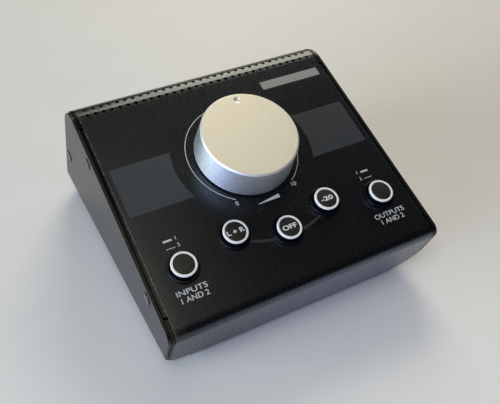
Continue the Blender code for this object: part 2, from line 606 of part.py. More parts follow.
settle(smooth(lathe("pot_body", pot_profile, SHAFT_SIDES, PLATED_STEEL)), (0, 0, 0), PANEL_FRAME)
nut = rods("pot_nut", [((0, 0, CLEARANCE), (0, 0, CLEARANCE + POT_NUT_HEIGHT))], POT_NUT_RADIUS, POST_SIDES)
nut.data.materials.append(PLATED_STEEL)
cut(nut, rods("nut_hole", through, bushing_radius + CLEARANCE, SHAFT_SIDES))
settle(smooth(nut), (0, 0, 0), PANEL_FRAME)

# Buttons: a cap with a flange that the panel holds back, a pale ring on its shoulder, a collar round it on
# the panel, a plunger and a switch
flange_top = -COVER_SHEET - CAP_FLANGE_GAP
cap_bottom = flange_top - CAP_FLANGE_HEIGHT
cap_profile = [
    (0, CAP_TOP_Z), (CAP_BOSS_RADIUS - CAP_ROUND, CAP_TOP_Z), (CAP_BOSS_RADIUS, CAP_TOP_Z - CAP_ROUND),
    (CAP_BOSS_RADIUS, CAP_SHOULDER_Z), (CAP_RADIUS, CAP_SHOULDER_Z), (CAP_RADIUS, flange_top),
    (CAP_FLANGE_RADIUS, flange_top), (CAP_FLANGE_RADIUS, cap_bottom), (CAP_SOCKET_RADIUS, cap_bottom),
    (CAP_SOCKET_RADIUS, CAP_SOCKET_TOP_Z), (0, CAP_SOCKET_TOP_Z)]
ring_inner = CAP_BOSS_RADIUS + CLEARANCE
ring_bottom = CAP_SHOULDER_Z + CLEARANCE
ring_profile = [
    (ring_inner, ring_bottom), (CAP_RADIUS, ring_bottom), (CAP_RADIUS, RING_TOP_Z - RING_ROUND),
    (CAP_RADIUS - RING_ROUND, RING_TOP_Z), (ring_inner, RING_TOP_Z)]
collar_profile = [
    (button_hole, CLEARANCE), (COLLAR_RADIUS, CLEARANCE), (COLLAR_RADIUS, COLLAR_TOP_Z - COLLAR_ROUND),
    (COLLAR_RADIUS - COLLAR_ROUND, COLLAR_TOP_Z), (button_hole, COLLAR_TOP_Z)]
for label, (x, y) in BUTTONS.items():
    collar = lathe("button_collar_" + label, collar_profile, BUTTON_SIDES, CAP_BLACK)
    settle(smooth(collar), (x, y, 0), PANEL_FRAME)
    cap = lathe("button_cap_" + label, cap_profile, BUTTON_SIDES, CAP_BLACK)
    settle(smooth(cap), (x, y, 0), PANEL_FRAME)
    ring = lathe("button_ring_" + label, ring_profile, BUTTON_SIDES, RING_WHITE)
    settle(smooth(ring), (x, y, 0), PANEL_FRAME)
    plunger_top = CAP_SOCKET_TOP_Z - CLEARANCE
    plunger_half = PLUNGER_WIDTH / 2
    plunger = block("switch_plunger_" + label, (-plunger_half, -plunger_half, plunger_top - PLUNGER_LENGTH),
                    (plunger_half, plunger_half, plunger_top), PLUNGER_PLASTIC)
    settle(plunger, (x, y, 0), PANEL_FRAME)
    switch_half = SWITCH_WIDTH / 2
    switch_bottom = MAIN_BOARD_TOP_Z + CLEARANCE
    switch = block("switch_body_" + label, (-switch_half, -switch_half, switch_bottom),
                   (switch_half, switch_half, SWITCH_TOP_Z), SWITCH_PLASTIC)
    well_half = SWITCH_WELL_WIDTH / 2
    well = block("well", (-well_half, -well_half, switch_bottom + SWITCH_FLOOR),
                 (well_half, well_half, SWITCH_TOP_Z + VENT_CUT))
    cut(switch, well)
    settle(switch, (x, y, 0), PANEL_FRAME)

# Main board under the panel. The potentiometer's nut holds its middle, and two posts hold its front
main_board_half = CASE_HALF_WIDTH - MAIN_BOARD_INSET
main_board_low = (-main_board_half, MAIN_BOARD_FRONT_Y, MAIN_BOARD_TOP_Z - BOARD_THICKNESS)
main_board_high = (main_board_half, MAIN_BOARD_REAR_Y, MAIN_BOARD_TOP_Z)
main_board = block("main_board", main_board_low, main_board_high, BOARD_GREEN)
settle(main_board, (0, 0, 0), PANEL_FRAME)
for side, side_name in ((-1, "left"), (1, "right")):
    post_ends = [((0, 0, MAIN_BOARD_TOP_Z + CLEARANCE), (0, 0, -COVER_SHEET - CLEARANCE))]
    post = rods("board_post_" + side_name, post_ends, POST_RADIUS, POST_SIDES)
    post.data.materials.append(PLATED_STEEL)
    settle(post, (side * (CASE_HALF_WIDTH - POST_INSET), POST_Y, 0), PANEL_FRAME)

# Sockets in the rear wall and the board behind them
jack_face = REAR_Y - COVER_SHEET - CLEARANCE
jack_half = JACK_BODY_WIDTH / 2
nose_tip = REAR_Y + JACK_NOSE_OUT
for number, x in enumerate(jack_places, 1):
    jack = block("jack_%d" % number, (-jack_half, -JACK_BODY_LENGTH, -jack_half), (jack_half, 0, jack_half),
                 SOCKET_PLASTIC)
    nose_reach = nose_tip - jack_face
    nose = rods("nose", [((0, -JACK_NOSE_OUT, 0), (0, nose_reach, 0))], JACK_NOSE_RADIUS, JACK_SIDES)
    combine(jack, nose, "UNION")
    mouth_radius = JACK_BORE_RADIUS + JACK_MOUTH_CHAMFER
    bore_profile = [
        (0, VENT_CUT), (mouth_radius, VENT_CUT), (mouth_radius, 0), (JACK_BORE_RADIUS, -JACK_MOUTH_CHAMFER),
        (JACK_BORE_RADIUS, -JACK_BORE_LENGTH), (0, -JACK_BORE_LENGTH)]
    bore = lathe("bore", bore_profile, JACK_SIDES)
    bore.rotation_euler = (-FULL_TURN / 4, 0, 0)
    cut(jack, settle(bore, (0, nose_reach, 0), None))
    settle(smooth(jack), (x, jack_face, JACK_Z), PANEL_FRAME)
board_face = jack_face - JACK_BODY_LENGTH - CLEARANCE
jack_board_half = CASE_HALF_WIDTH - JACK_BOARD_INSET
jack_board = block("jack_board", (-jack_board_half, board_face - BOARD_THICKNESS, JACK_BOARD_BOTTOM_Z),
                   (jack_board_half, board_face, JACK_BOARD_TOP_Z), BOARD_GREEN)
settle(jack_board, (0, 0, 0), PANEL_FRAME)

# Ribbon cable with a plug at each end, from under the main board to the front of the socket board
upper_top = MAIN_BOARD_TOP_Z - BOARD_THICKNESS - CLEARANCE
upper_bottom = upper_top - PLUG_HEIGHT
lower_rear = board_face - BOARD_THICKNESS - CLEARANCE
lower_front = lower_rear - PLUG_HEIGHT
half_plug = PLUG_LENGTH / 2
half_ribbon = RIBBON_THICKNESS / 2
ribbon_near = rounded([
    (UPPER_PLUG_Y - half_ribbon, upper_bottom, 0),
    (UPPER_PLUG_Y - half_ribbon, LOWER_PLUG_Z - half_ribbon, RIBBON_BEND_RADIUS + RIBBON_THICKNESS),
    (lower_front, LOWER_PLUG_Z - half_ribbon, 0)], BEND_STEPS)
ribbon_far = rounded([
    (UPPER_PLUG_Y + half_ribbon, upper_bottom, 0),
    (UPPER_PLUG_Y + half_ribbon, LOWER_PLUG_Z + half_ribbon, RIBBON_BEND_RADIUS),
    (lower_front, LOWER_PLUG_Z + half_ribbon, 0)], BEND_STEPS)
upper_plug = [(UPPER_PLUG_Y + half_plug, upper_bottom), (UPPER_PLUG_Y + half_plug, upper_top),
              (UPPER_PLUG_Y - half_plug, upper_top), (UPPER_PLUG_Y - half_plug, upper_bottom)]
lower_plug = [(lower_front, LOWER_PLUG_Z - half_plug), (lower_rear, LOWER_PLUG_Z - half_plug),
              (lower_rear, LOWER_PLUG_Z + half_plug), (lower_front, LOWER_PLUG_Z + half_plug)]
ribbon_outline = ribbon_near + lower_plug + ribbon_far[::-1] + upper_plug
ribbon = prism("ribbon_cable", ribbon_outline, -RIBBON_WIDTH / 2, RIBBON_WIDTH / 2, "X", RIBBON_GREY)
settle(ribbon, (0, 0, 0), PANEL_FRAME)
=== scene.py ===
# %% [markdown]
# This lesson dresses a desktop monitor controller: a wedge of folded black sheet metal with one big
# aluminium volume knob, five push buttons with pale rings, white printing and a row of sockets behind. The
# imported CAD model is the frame. Its pieces keep their places, and everything made here sits on them.

# %% Load the frame
import json
import math

import bmesh
import bpy
import numpy as np
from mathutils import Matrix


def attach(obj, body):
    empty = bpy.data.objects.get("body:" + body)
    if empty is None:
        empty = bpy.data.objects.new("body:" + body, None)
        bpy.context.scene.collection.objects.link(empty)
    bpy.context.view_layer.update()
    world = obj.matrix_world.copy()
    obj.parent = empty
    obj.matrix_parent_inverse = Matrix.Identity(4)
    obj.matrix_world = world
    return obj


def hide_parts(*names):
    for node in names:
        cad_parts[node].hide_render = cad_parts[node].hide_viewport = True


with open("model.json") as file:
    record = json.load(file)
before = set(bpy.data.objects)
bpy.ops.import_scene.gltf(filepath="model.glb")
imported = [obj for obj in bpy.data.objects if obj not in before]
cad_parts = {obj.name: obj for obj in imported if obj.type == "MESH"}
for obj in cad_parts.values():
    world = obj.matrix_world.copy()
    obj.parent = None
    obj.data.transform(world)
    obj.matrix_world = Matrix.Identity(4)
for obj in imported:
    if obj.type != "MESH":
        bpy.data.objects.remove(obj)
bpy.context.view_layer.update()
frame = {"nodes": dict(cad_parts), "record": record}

# %% [markdown]
# The sloped panel is the natural place to measure from. Its own axes are x to the right, y up the slope
# and z out of the metal, and they start where the knob's axis meets the panel. One turn about x and one
# shift take such a point to the world, and the turn is the slope of the panel.

# %% The panel's own axes
PANEL_SLOPE = math.radians(18.2)
PANEL_ORIGIN = np.array([0, -0.006201212, 0.075076727])
COS, SIN = math.cos(PANEL_SLOPE), math.sin(PANEL_SLOPE)
PANEL_TURN = np.array([[1, 0, 0], [0, COS, -SIN], [0, SIN, COS]])


def from_panel(points):
    """World places of panel points: turned about x by the slope, then moved to the panel's origin."""
    return np.asarray(points, float) @ PANEL_TURN.T + PANEL_ORIGIN


print("knob axis meets the panel at", from_panel([0, 0, 0]).round(5))

# %% [markdown]
# Nearly all new pieces are skins. A skin takes a stack of sections, each the same number of points in
# space, and joins every section to the next with four-sided faces. A turned part is one profile repeated
# round an axis, a printed line is a small rectangle carried along a path, so one function makes them all.

# %% Make a piece from a skin
WELD = 0.000001
SHARP_ANGLE = math.radians(32)


def add_piece(name, data):
    """An object that holds a mesh, a curve, a lamp or the camera, linked into the scene."""
    piece = bpy.data.objects.new(name, data)
    bpy.context.collection.objects.link(piece)
    return piece


def mend(mesh, drop_slivers):
    """Merges doubled points and turns the faces outward. Edges without length go too, where asked."""
    bm = bmesh.new()
    bm.from_mesh(mesh)
    bmesh.ops.remove_doubles(bm, verts=bm.verts, dist=WELD)
    if drop_slivers:
        bmesh.ops.dissolve_degenerate(bm, edges=bm.edges, dist=WELD)
    bmesh.ops.recalc_face_normals(bm, faces=bm.faces)
    bm.to_mesh(mesh)
    bm.free()


def close_mesh(name, points, faces, material):
    """A linked object from points and faces, mended and shaded smooth with its sharp edges kept sharp."""
    mesh = bpy.data.meshes.new(name)
    mesh.from_pydata(points, [], faces)
    mend(mesh, drop_slivers=True)
    mesh.polygons.foreach_set("use_smooth", np.ones(len(mesh.polygons), bool))
    mesh.set_sharp_from_angle(angle=SHARP_ANGLE)
    mesh.materials.append(material)
    return add_piece(name, mesh)


def skin(name, sections, material, ring_section=True, loop=False):
    """Quads between neighbours of a grid of points. Rows are sections, and a ring section closes on itself.
    With loop the last row joins the first one, and otherwise ring sections are capped at both ends."""
    rows, columns = sections.shape[:2]
    index = np.arange(rows * columns).reshape(rows, columns)
    if ring_section:
        index = np.column_stack([index, index[:, 0]])
    if loop:
        index = np.vstack([index, index[0]])
    quads = np.stack([index[:-1, :-1], index[1:, :-1], index[1:, 1:], index[:-1, 1:]], axis=-1)
    faces = quads.reshape(-1, 4).tolist()
    if ring_section and not loop:
        faces += [index[0, :-1].tolist(), index[-1, :-1][::-1].tolist()]
    return close_mesh(name, sections.reshape(-1, 3), faces, material)


# %% [markdown]
# A turned part starts as a line of (radius, height) corners. No made edge is quite sharp, and it is the
# rounded edge that catches the light, so a corner that has a radius becomes an arc that touches both of
# its sides.

# %% Profiles for turned parts
FULL_TURN = 2 * math.pi
ARC_STEPS = 4


def turned(profile, angles, centre):
    """Sections of a turned part: each (radius, height) profile point at x = r cos a, y = r sin a and
    z = height, in panel axes moved to the part's centre."""
    radius, height = np.asarray(profile, float).T
    x = np.outer(np.cos(angles), radius) + centre[0]
    y = np.outer(np.sin(angles), radius) + centre[1]
    z = np.broadcast_to(height + centre[2], x.shape)
    return np.stack([x, y, z], axis=-1)


def rounded(corners):
    """An open line of (a, b, radius) corners with each corner replaced by an arc that touches both sides.
    The arc's middle lies on the line that halves the corner, and its distance from the corner is the radius
    divided by the sine of half the corner's angle."""
    corners = np.asarray(corners, float)
    line = []
    for k, (a, b, radius) in enumerate(corners):
        here = np.array([a, b])
        if radius == 0:
            line.append(here[None])
            continue
        back, ahead = corners[k - 1][:2] - here, corners[k + 1][:2] - here
        back, ahead = back / np.linalg.norm(back), ahead / np.linalg.norm(ahead)
        half = math.acos(np.clip(back @ ahead, -1, 1)) / 2
        reach = radius / math.tan(half)
        middle = here + (back + ahead) / np.linalg.norm(back + ahead) * radius / math.sin(half)
        start, end = here + back * reach - middle, here + ahead * reach - middle
        sweep = math.atan2(start[0] * end[1] - start[1] * end[0], start @ end)
        turn = np.linspace(0, sweep, ARC_STEPS + 1)
        line.append(middle + np.stack([start[0] * np.cos(turn) - start[1] * np.sin(turn),
                                       start[0] * np.sin(turn) + start[1] * np.cos(turn)], axis=1))
    return np.vstack(line)


def even_angles(count):
    """Angles of equal steps round a full turn, without the last one, which is the first again."""
    return np.linspace(0, FULL_TURN, count, endpoint=False)


square_corner = [(0, 0, 0), (1, 0, 0.2), (1, 1, 0)]
print("a square corner rounded to 0.2 goes through", rounded(square_corner).round(2).tolist())

# %% [markdown]
# Paint, plastic and metal are never one flat colour. Every finish here is built from the same three
# things: a slow drift of the colour, a drift of the roughness, and a fine grain in the surface. Noise
# nodes read Object coordinates, which are metres on the real object, so a grain of 0.4 mm is 0.4 mm on
# every piece.

# %% The parts of a finish
NOISE_DETAIL = 2
NOISE_LOW, NOISE_HIGH = 0.3, 0.7


def place_of(tree):
    """The Object coordinates that a finish reads."""
    return next(node for node in tree.nodes if node.type == "TEX_COORD").outputs["Object"]


def drift(tree, coords, size):
    """Noise between 0 and 1 whose blobs are about size metres across."""
    noise = tree.nodes.new("ShaderNodeTexNoise")
    noise.inputs["Scale"].default_value = 1 / size
    noise.inputs["Detail"].default_value = NOISE_DETAIL
    tree.links.new(coords, noise.inputs["Vector"])
    return noise.outputs["Fac"]


def between(tree, share, low, high, share_low=NOISE_LOW, share_high=NOISE_HIGH):
    """A value that runs from low to high while the share runs from share_low to share_high. Nearly all of a
    noise lies between the two values that are taken where none are given."""
    node = tree.nodes.new("ShaderNodeMapRange")
    spans = {"From Min": share_low, "From Max": share_high, "To Min": low, "To Max": high}
    for socket, value in spans.items():
        node.inputs[socket].default_value = value
    tree.links.new(share, node.inputs["Value"])
    return node.outputs["Result"]


def blend_colours(tree, share, first, second):
    """A colour on the way from the first to the second, each of them a colour or another node's output."""
    node = tree.nodes.new("ShaderNodeMix")
    node.data_type = "RGBA"
    tree.links.new(share, node.inputs["Factor"])
    for name, colour in (("A", first), ("B", second)):
        socket = next(s for s in node.inputs if s.name == name and s.type == "RGBA")
        if isinstance(colour, bpy.types.NodeSocket):
            tree.links.new(colour, socket)
        else:
            socket.default_value = (*colour, 1)
    return next(s for s in node.outputs if s.type == "RGBA")


def grain(tree, shader, height, distance):
    """Bump from a height between 0 and 1 that stands for distance metres of real relief."""
    bump = tree.nodes.new("ShaderNodeBump")
    bump.inputs["Distance"].default_value = distance
    tree.links.new(height, bump.inputs["Height"])
    tree.links.new(bump.outputs["Normal"], shader.inputs["Normal"])


def plain_finish(name, colour, swing, patch, roughness, roughness_swing, grain_size, relief, metallic=0,
                 specular=0.5):
    """Colour times 1 +- swing in patches, roughness +- its swing with the grain, and the grain's relief."""
    material = bpy.data.materials.new(name)
    material.use_nodes = True
    tree = material.node_tree
    tree.nodes.new("ShaderNodeTexCoord")
    coords = place_of(tree)
    shader = tree.nodes["Principled BSDF"]
    dark = [channel * (1 - swing) for channel in colour]
    light = [channel * (1 + swing) for channel in colour]
    wander = between(tree, drift(tree, coords, patch), 0, 1)
    tree.links.new(blend_colours(tree, wander, dark, light), shader.inputs["Base Color"])
    fine = drift(tree, coords, grain_size)
    rough = between(tree, fine, roughness - roughness_swing, roughness + roughness_swing)
    tree.links.new(rough, shader.inputs["Roughness"])
    grain(tree, shader, fine, relief)
    shader.inputs["Metallic"].default_value = metallic
    shader.inputs["Specular IOR Level"].default_value = specular
    return material


# %% [markdown]
# The cover has a fine-textured black powder coat: baked powder leaves a skin of tiny soft bumps, which
# breaks up every reflection. The cheeks have paint of the same kind, a shade greyer, with a finer and
# flatter skin. The bumps could be real ones in the mesh, but they are far too small to show in an outline,
# so bumps in the shading do.

# %% Powder coats
COVER_BLACK = (0.0042, 0.0042, 0.0043)
CHEEK_BLACK = (0.0115, 0.0118, 0.0135)
COVER_SHINE = 0.75
CHEEK_SHINE = 0.85
powder_coat = plain_finish("black_powder_coat", COVER_BLACK, swing=0.35, patch=0.0012, roughness=0.28,
                           roughness_swing=0.06, grain_size=0.0008, relief=0.000060, specular=COVER_SHINE)
cheek_coat = plain_finish("black_cheek_coat", CHEEK_BLACK, swing=0.2, patch=0.0012, roughness=0.36,
                          roughness_swing=0.06, grain_size=0.0006, relief=0.000024, specular=CHEEK_SHINE)
print("paints:", powder_coat.name, "and", cheek_coat.name)

# %% [markdown]
# A used case isn't evenly black: it has wear, and here it also gets painted light and shade. A painted
# picture of its marks would need the case unwrapped first. Where a mark lies is a matter of place, so here
# each one is a share between 0 and 1 that is worked out from the Object coordinates, and shares are
# multiplied where all of them must hold.

# %% Shares that follow the place
def maths(tree, operation, *values):
    """The result of one Math node on the values that one or two other nodes give."""
    node = tree.nodes.new("ShaderNodeMath")
    node.operation = operation
    for value, socket in zip(values, node.inputs):
        tree.links.new(value, socket)
    return node.outputs["Value"]


def vector_maths(tree, operation, vector, fixed=(0, 0, 0)):
    """The result of one Vector Math node on another node's vector and a fixed one."""
    node = tree.nodes.new("ShaderNodeVectorMath")
    node.operation = operation
    tree.links.new(vector, node.inputs[0])
    node.inputs[1].default_value = fixed
    return node.outputs["Value" if operation in ("DOT_PRODUCT", "LENGTH") else "Vector"]


def place_on(tree, coords, axis):
    """The place on one axis, in metres."""
    split = tree.nodes.new("ShaderNodeSeparateXYZ")
    tree.links.new(coords, split.inputs["Vector"])
    return split.outputs[axis]


def along(tree, coords, axis, clear, full):
    """A share that runs from 0 to 1 while the place on one axis runs from clear to full."""
    return between(tree, place_on(tree, coords, axis), 0, 1, clear, full)


def from_middle(tree, coords, clear, full):
    """A share that runs from 0 to 1 while the distance from the middle plane runs from clear to full."""
    return between(tree, maths(tree, "ABSOLUTE", place_on(tree, coords, "X")), 0, 1, clear, full)


def product(tree, shares):
    """All the shares multiplied together."""
    result = shares[0]
    for share in shares[1:]:
        result = maths(tree, "MULTIPLY", result, share)
    return result


def up_the_slope(tree, coords, clear, full):
    """A share that runs from 0 to 1 while y on the panel runs from clear to full. That y is the dot product
    of the place and the panel's upward direction, counted from the panel's origin."""
    start = PANEL_ORIGIN[1] * COS + PANEL_ORIGIN[2] * SIN
    up = vector_maths(tree, "DOT_PRODUCT", coords, (0, COS, SIN))
    return between(tree, up, 0, 1, clear + start, full + start)


# %% [markdown]
# On the left the panel's edge has a speckled light line where the bend begins: a painted highlight on the
# bend, speckled like worn paint. The bends shine less than the panel. A speckled painted sheen lies in the
# front left corner, and the front wall gets a painted cool reflection that grows lighter to the right. The
# vents are cut through the rear bend, and their walls get painted shade. Those walls lie nearer to the
# bend's axis than its outer face does, so that distance finds them.

# %% Wear and painted light on the cover
REAR_WALL_Y = 0.0745
REAR_BEND_RADIUS = 0.0167
# Painted cool tint on every reflection of the cover's paint, in place of cooler light.
COOL_REFLECTION_TINT = (0.74, 0.85, 1.0, 1)
# Worn paint and painted highlight: a speckled light line on the left bend, which stands in for the bend
# catching the light.
WORN_HIGHLIGHT_PAINT = (0.13, 0.125, 0.105)
# Painted sheen: a speckled lighter grey towards the front left corner of the panel.
PAINTED_SHEEN = (0.036, 0.034, 0.024)
# Painted reflection: the front wall's colour runs from nearly black on the left to a cool blue-grey on the
# right.
WALL_REFLECTION_LEFT = (0.008, 0.010, 0.014)
WALL_REFLECTION_RIGHT = (0.070, 0.082, 0.112)
# Painted shade: the walls of the vents are coloured near black.
VENT_PAINTED_SHADE = (0.0015, 0.0015, 0.0015)
BEND_SHINE = 0.10

# Each pair is the place or distance in metres at which a share is 0, and then the one at which it is 1.
SHEEN_ACROSS = (-0.080, -0.0885)
SHEEN_TO_FRONT = (-0.010, -0.070)
WALL_ACROSS = (-0.088, 0.0)
WALL_AT_NOSE = (-0.0930, -0.0953)
WORN_HIGHLIGHT_OUTWARD = (-0.0877, -0.0881)
WORN_HIGHLIGHT_INWARD = (-0.0888, -0.0884)
DULL_OUTWARD = (0.0884, 0.0887)
UNDER_OUTER_FACE = (REAR_BEND_RADIUS - 0.00006, REAR_BEND_RADIUS - 0.00016)

# Speckles: their size in metres, and the pair of noise values between which they come up.
SHEEN_SPECK = 0.0010
SHEEN_NOISE = (0.35, 0.6)
SHEEN_LEAST = 0.2
WORN_HIGHLIGHT_SPECK = 0.0008
WORN_HIGHLIGHT_NOISE = (0.44, 0.60)


def under_bend(tree, coords):
    """A share that is 1 under the outer face of the rear bend, such as on the walls of the vents: there the
    distance to the bend's axis is less than the bend's radius. It is 0 on every outer face."""
    axis = from_panel([0, REAR_WALL_Y - REAR_BEND_RADIUS, -REAR_BEND_RADIUS])
    shift = vector_maths(tree, "SUBTRACT", coords, axis)
    across_axis = vector_maths(tree, "MULTIPLY", shift, (0, 1, 1))
    return between(tree, vector_maths(tree, "LENGTH", across_axis), 0, 1, *UNDER_OUTER_FACE)


def wear_and_painted_light(material):
    """Lays the wall's painted reflection, the painted sheen, the worn line with its painted highlight and
    the vents' painted shade over the paint, one after another, and lowers the shine on the bends and in the
    vents."""
    tree = material.node_tree
    shader = tree.nodes["Principled BSDF"]
    coords = place_of(tree)
    shader.inputs["Specular Tint"].default_value = COOL_REFLECTION_TINT
    paint = shader.inputs["Base Color"].links[0].from_socket
    # Painted reflection on the front wall, a cool grey that grows lighter to the right.
    wall_reflection = blend_colours(tree, along(tree, coords, "X", *WALL_ACROSS), WALL_REFLECTION_LEFT, WALL_REFLECTION_RIGHT)
    paint = blend_colours(tree, up_the_slope(tree, coords, *WALL_AT_NOSE), paint, wall_reflection)
    # Painted sheen in the front left corner, speckled.
    sheen = product(tree, [along(tree, coords, "X", *SHEEN_ACROSS), along(tree, coords, "Y", *SHEEN_TO_FRONT),
                          between(tree, drift(tree, coords, SHEEN_SPECK), SHEEN_LEAST, 1, *SHEEN_NOISE)])
    paint = blend_colours(tree, sheen, paint, PAINTED_SHEEN)
    # The worn line: speckled wear with a painted highlight on the left bend.
    worn = product(tree, [along(tree, coords, "X", *WORN_HIGHLIGHT_OUTWARD), along(tree, coords, "X", *WORN_HIGHLIGHT_INWARD),
                          between(tree, drift(tree, coords, WORN_HIGHLIGHT_SPECK), 0, 1, *WORN_HIGHLIGHT_NOISE)])
    paint = blend_colours(tree, worn, paint, WORN_HIGHLIGHT_PAINT)
    under = under_bend(tree, coords)
    # Painted shade on the walls of the vents.
    tree.links.new(blend_colours(tree, under, paint, VENT_PAINTED_SHADE), shader.inputs["Base Color"])
    dull = maths(tree, "MAXIMUM", from_middle(tree, coords, *DULL_OUTWARD), under)
    shine = between(tree, dull, COVER_SHINE, BEND_SHINE, 0, 1)
    tree.links.new(shine, shader.inputs["Specular IOR Level"])


wear_and_painted_light(powder_coat)
print(powder_coat.name, "has", len(powder_coat.node_tree.nodes), "nodes")

# %% [markdown]
# The cut end of a cheek's sheet lies in the narrow gap beside the cover, so it gets painted shade: a blacker
# colour and less shine than the outer face. A folded sheet also has no knife edges. A Bevel node rounds them
# in the shading alone, which leaves the CAD meshes as they are.

# %% Dark ends and soft edges
SHEET_END = (0.0928, 0.09298)
SHEET_END_SHINE = 0.38
COVER_EDGE = 0.00012
CHEEK_EDGE = 0.0004
EDGE_SAMPLES = 6


def dark_sheet_end(material):
    """Keeps the paint's grey for the outer face and makes the sheet's thickness, just inside it, blacker:
    painted shade for the gap beside the cover.
    """
    tree = material.node_tree
    shader = tree.nodes["Principled BSDF"]
    face = from_middle(tree, place_of(tree), *SHEET_END)
    paint = shader.inputs["Base Color"].links[0].from_socket
    tree.links.new(blend_colours(tree, face, COVER_BLACK, paint), shader.inputs["Base Color"])
    shine = between(tree, face, SHEET_END_SHINE, CHEEK_SHINE, 0, 1)
    tree.links.new(shine, shader.inputs["Specular IOR Level"])


def soften_edges(material, radius):
    """Shades the sharp edges of a folded sheet as if they were rounded to a radius, under the grain."""
    tree = material.node_tree
    bump = next(node for node in tree.nodes if node.type == "BUMP")
    edge = tree.nodes.new("ShaderNodeBevel")
    edge.samples = EDGE_SAMPLES
    edge.inputs["Radius"].default_value = radius
    tree.links.new(edge.outputs["Normal"], bump.inputs["Normal"])


dark_sheet_end(cheek_coat)
soften_edges(powder_coat, COVER_EDGE)
soften_edges(cheek_coat, CHEEK_EDGE)
print("edges shaded with radii", COVER_EDGE, "and", CHEEK_EDGE)

# %% [markdown]
# The other finishes are rows of numbers for the same recipe. The knob's face is blasted, and its side is
# turned with fine grooves, which stretch a highlight along the knob's axis. A picture of brushed metal
# could be wrapped round it, but a formula has no seam and keeps its size on any piece.

# %% Metals
# A row is the colour, its swing, the size of its patches, the roughness, its swing, and the grain's size and
# relief. Sizes are in metres.
METALS = {
    # The face's cream colour is painted warm light, and the side's darker blue-grey is painted shade. Both
    # are the same aluminium.
    "blasted_face": ((0.97, 0.93, 0.81), 0.05, 0.0007, 0.60, 0.04, 0.0006, 0.000030),
    "satin_side": ((0.61, 0.65, 0.70), 0.10, 0.0018, 0.60, 0.05, 0.0005, 0.000012),
    "bright_chamfer": ((0.97, 0.98, 1.0), 0.02, 0.001, 0.62, 0.04, 0.0004, 0.000006),
    "worn_recess_steel": ((0.62, 0.62, 0.62), 0.1, 0.0006, 0.30, 0.08, 0.0003, 0.000010),
    "dark_screw_steel": ((0.30, 0.30, 0.31), 0.15, 0.0008, 0.32, 0.08, 0.0003, 0.000006),
    "plated_steel": ((0.62, 0.61, 0.58), 0.08, 0.002, 0.28, 0.08, 0.0006, 0.000006)}
TURNED_STRETCH = 0.6
metal = {name: plain_finish(name, *row, metallic=1) for name, row in METALS.items()}


def stretch_shine(material, direction, amount):
    """Stretches highlights along one direction, across the fine grooves that a turning tool leaves."""
    tree = material.node_tree
    shader = tree.nodes["Principled BSDF"]
    arrow = tree.nodes.new("ShaderNodeCombineXYZ")
    for socket, value in zip(arrow.inputs, direction):
        socket.default_value = value
    tree.links.new(arrow.outputs["Vector"], shader.inputs["Tangent"])
    shader.inputs["Anisotropic"].default_value = amount


stretch_shine(metal["satin_side"], (0, -SIN, COS), TURNED_STRETCH)
print(len(metal), "metals")

# %% [markdown]
# The caps' faces are dull, their sides and collars are glossy, and the ring is a milky white. One black
# for all would make cap and collar run together. The cheek screws are blackened, which looks like a dark
# lacquer, so they are here and not with the metals.

# %% Plastics, rubber, boards and blackened screws
# A row is as above, and ends with the specular level.
PLASTICS = {
    "black_cap_face": ((0.010, 0.010, 0.008), 0.2, 0.001, 0.46, 0.05, 0.0006, 0.000012, 0.5),
    "blackened_screw": ((0.006, 0.006, 0.007), 0.2, 0.0008, 0.18, 0.05, 0.0003, 0.000006, 0.8),
    "black_gloss_plastic": ((0.003, 0.004, 0.008), 0.2, 0.002, 0.16, 0.04, 0.0008, 0.000004, 0.28),
    "pale_ring_plastic": ((0.95, 0.96, 0.95), 0.04, 0.002, 0.35, 0.05, 0.0006, 0.000004, 0.5),
    "socket_plastic": ((0.016, 0.016, 0.017), 0.15, 0.002, 0.42, 0.06, 0.0005, 0.00001, 0.5),
    "switch_plastic": ((0.09, 0.09, 0.10), 0.1, 0.002, 0.45, 0.06, 0.0005, 0.00001, 0.5),
    "plunger_plastic": ((0.74, 0.73, 0.67), 0.04, 0.002, 0.42, 0.06, 0.0005, 0.00001, 0.5),
    "board_mask": ((0.015, 0.10, 0.04), 0.25, 0.003, 0.30, 0.06, 0.0010, 0.00002, 0.5),
    "ribbon_jacket": ((0.40, 0.41, 0.42), 0.08, 0.002, 0.45, 0.06, 0.0006, 0.00001, 0.5),
    "foot_rubber": ((0.018, 0.018, 0.018), 0.2, 0.002, 0.75, 0.08, 0.0006, 0.00003, 0.5)}
plastic = {name: plain_finish(name, *row[:-1], specular=row[-1]) for name, row in PLASTICS.items()}
print(len(plastic), "plastics and the like")

# %% [markdown]
# Screen-printed ink is a thin dull layer. Its whiteness drifts a little, because the coat is never quite
# even.

# %% Inks
# A row is the colour, its swing, the size of its patches, the roughness, its swing, and the grain's size and
# relief. Sizes are in metres.
INKS = {
    "white_ink": ((0.62, 0.64, 0.63), 0.08, 0.0006, 0.5, 0.05, 0.0003, 0.000004),
    "bright_cap_ink": ((0.90, 0.91, 0.90), 0.04, 0.0006, 0.5, 0.05, 0.0003, 0.000004),
    "silver_ink": ((0.32, 0.325, 0.325), 0.05, 0.0006, 0.5, 0.05, 0.0003, 0.000004),
    "grey_ink": ((0.034, 0.034, 0.040), 0.08, 0.001, 0.5, 0.05, 0.0004, 0.000006),
    "slate_film": ((0.031, 0.039, 0.050), 0.06, 0.001, 0.42, 0.04, 0.0004, 0.000006)}
ink = {name: plain_finish(name, *row) for name, row in INKS.items()}
print(len(ink), "inks")

# %% [markdown]
# Pieces whose CAD shape is already right keep it and only change their finish. The record names a slot for
# each node, so one table from slot to material dresses them all.

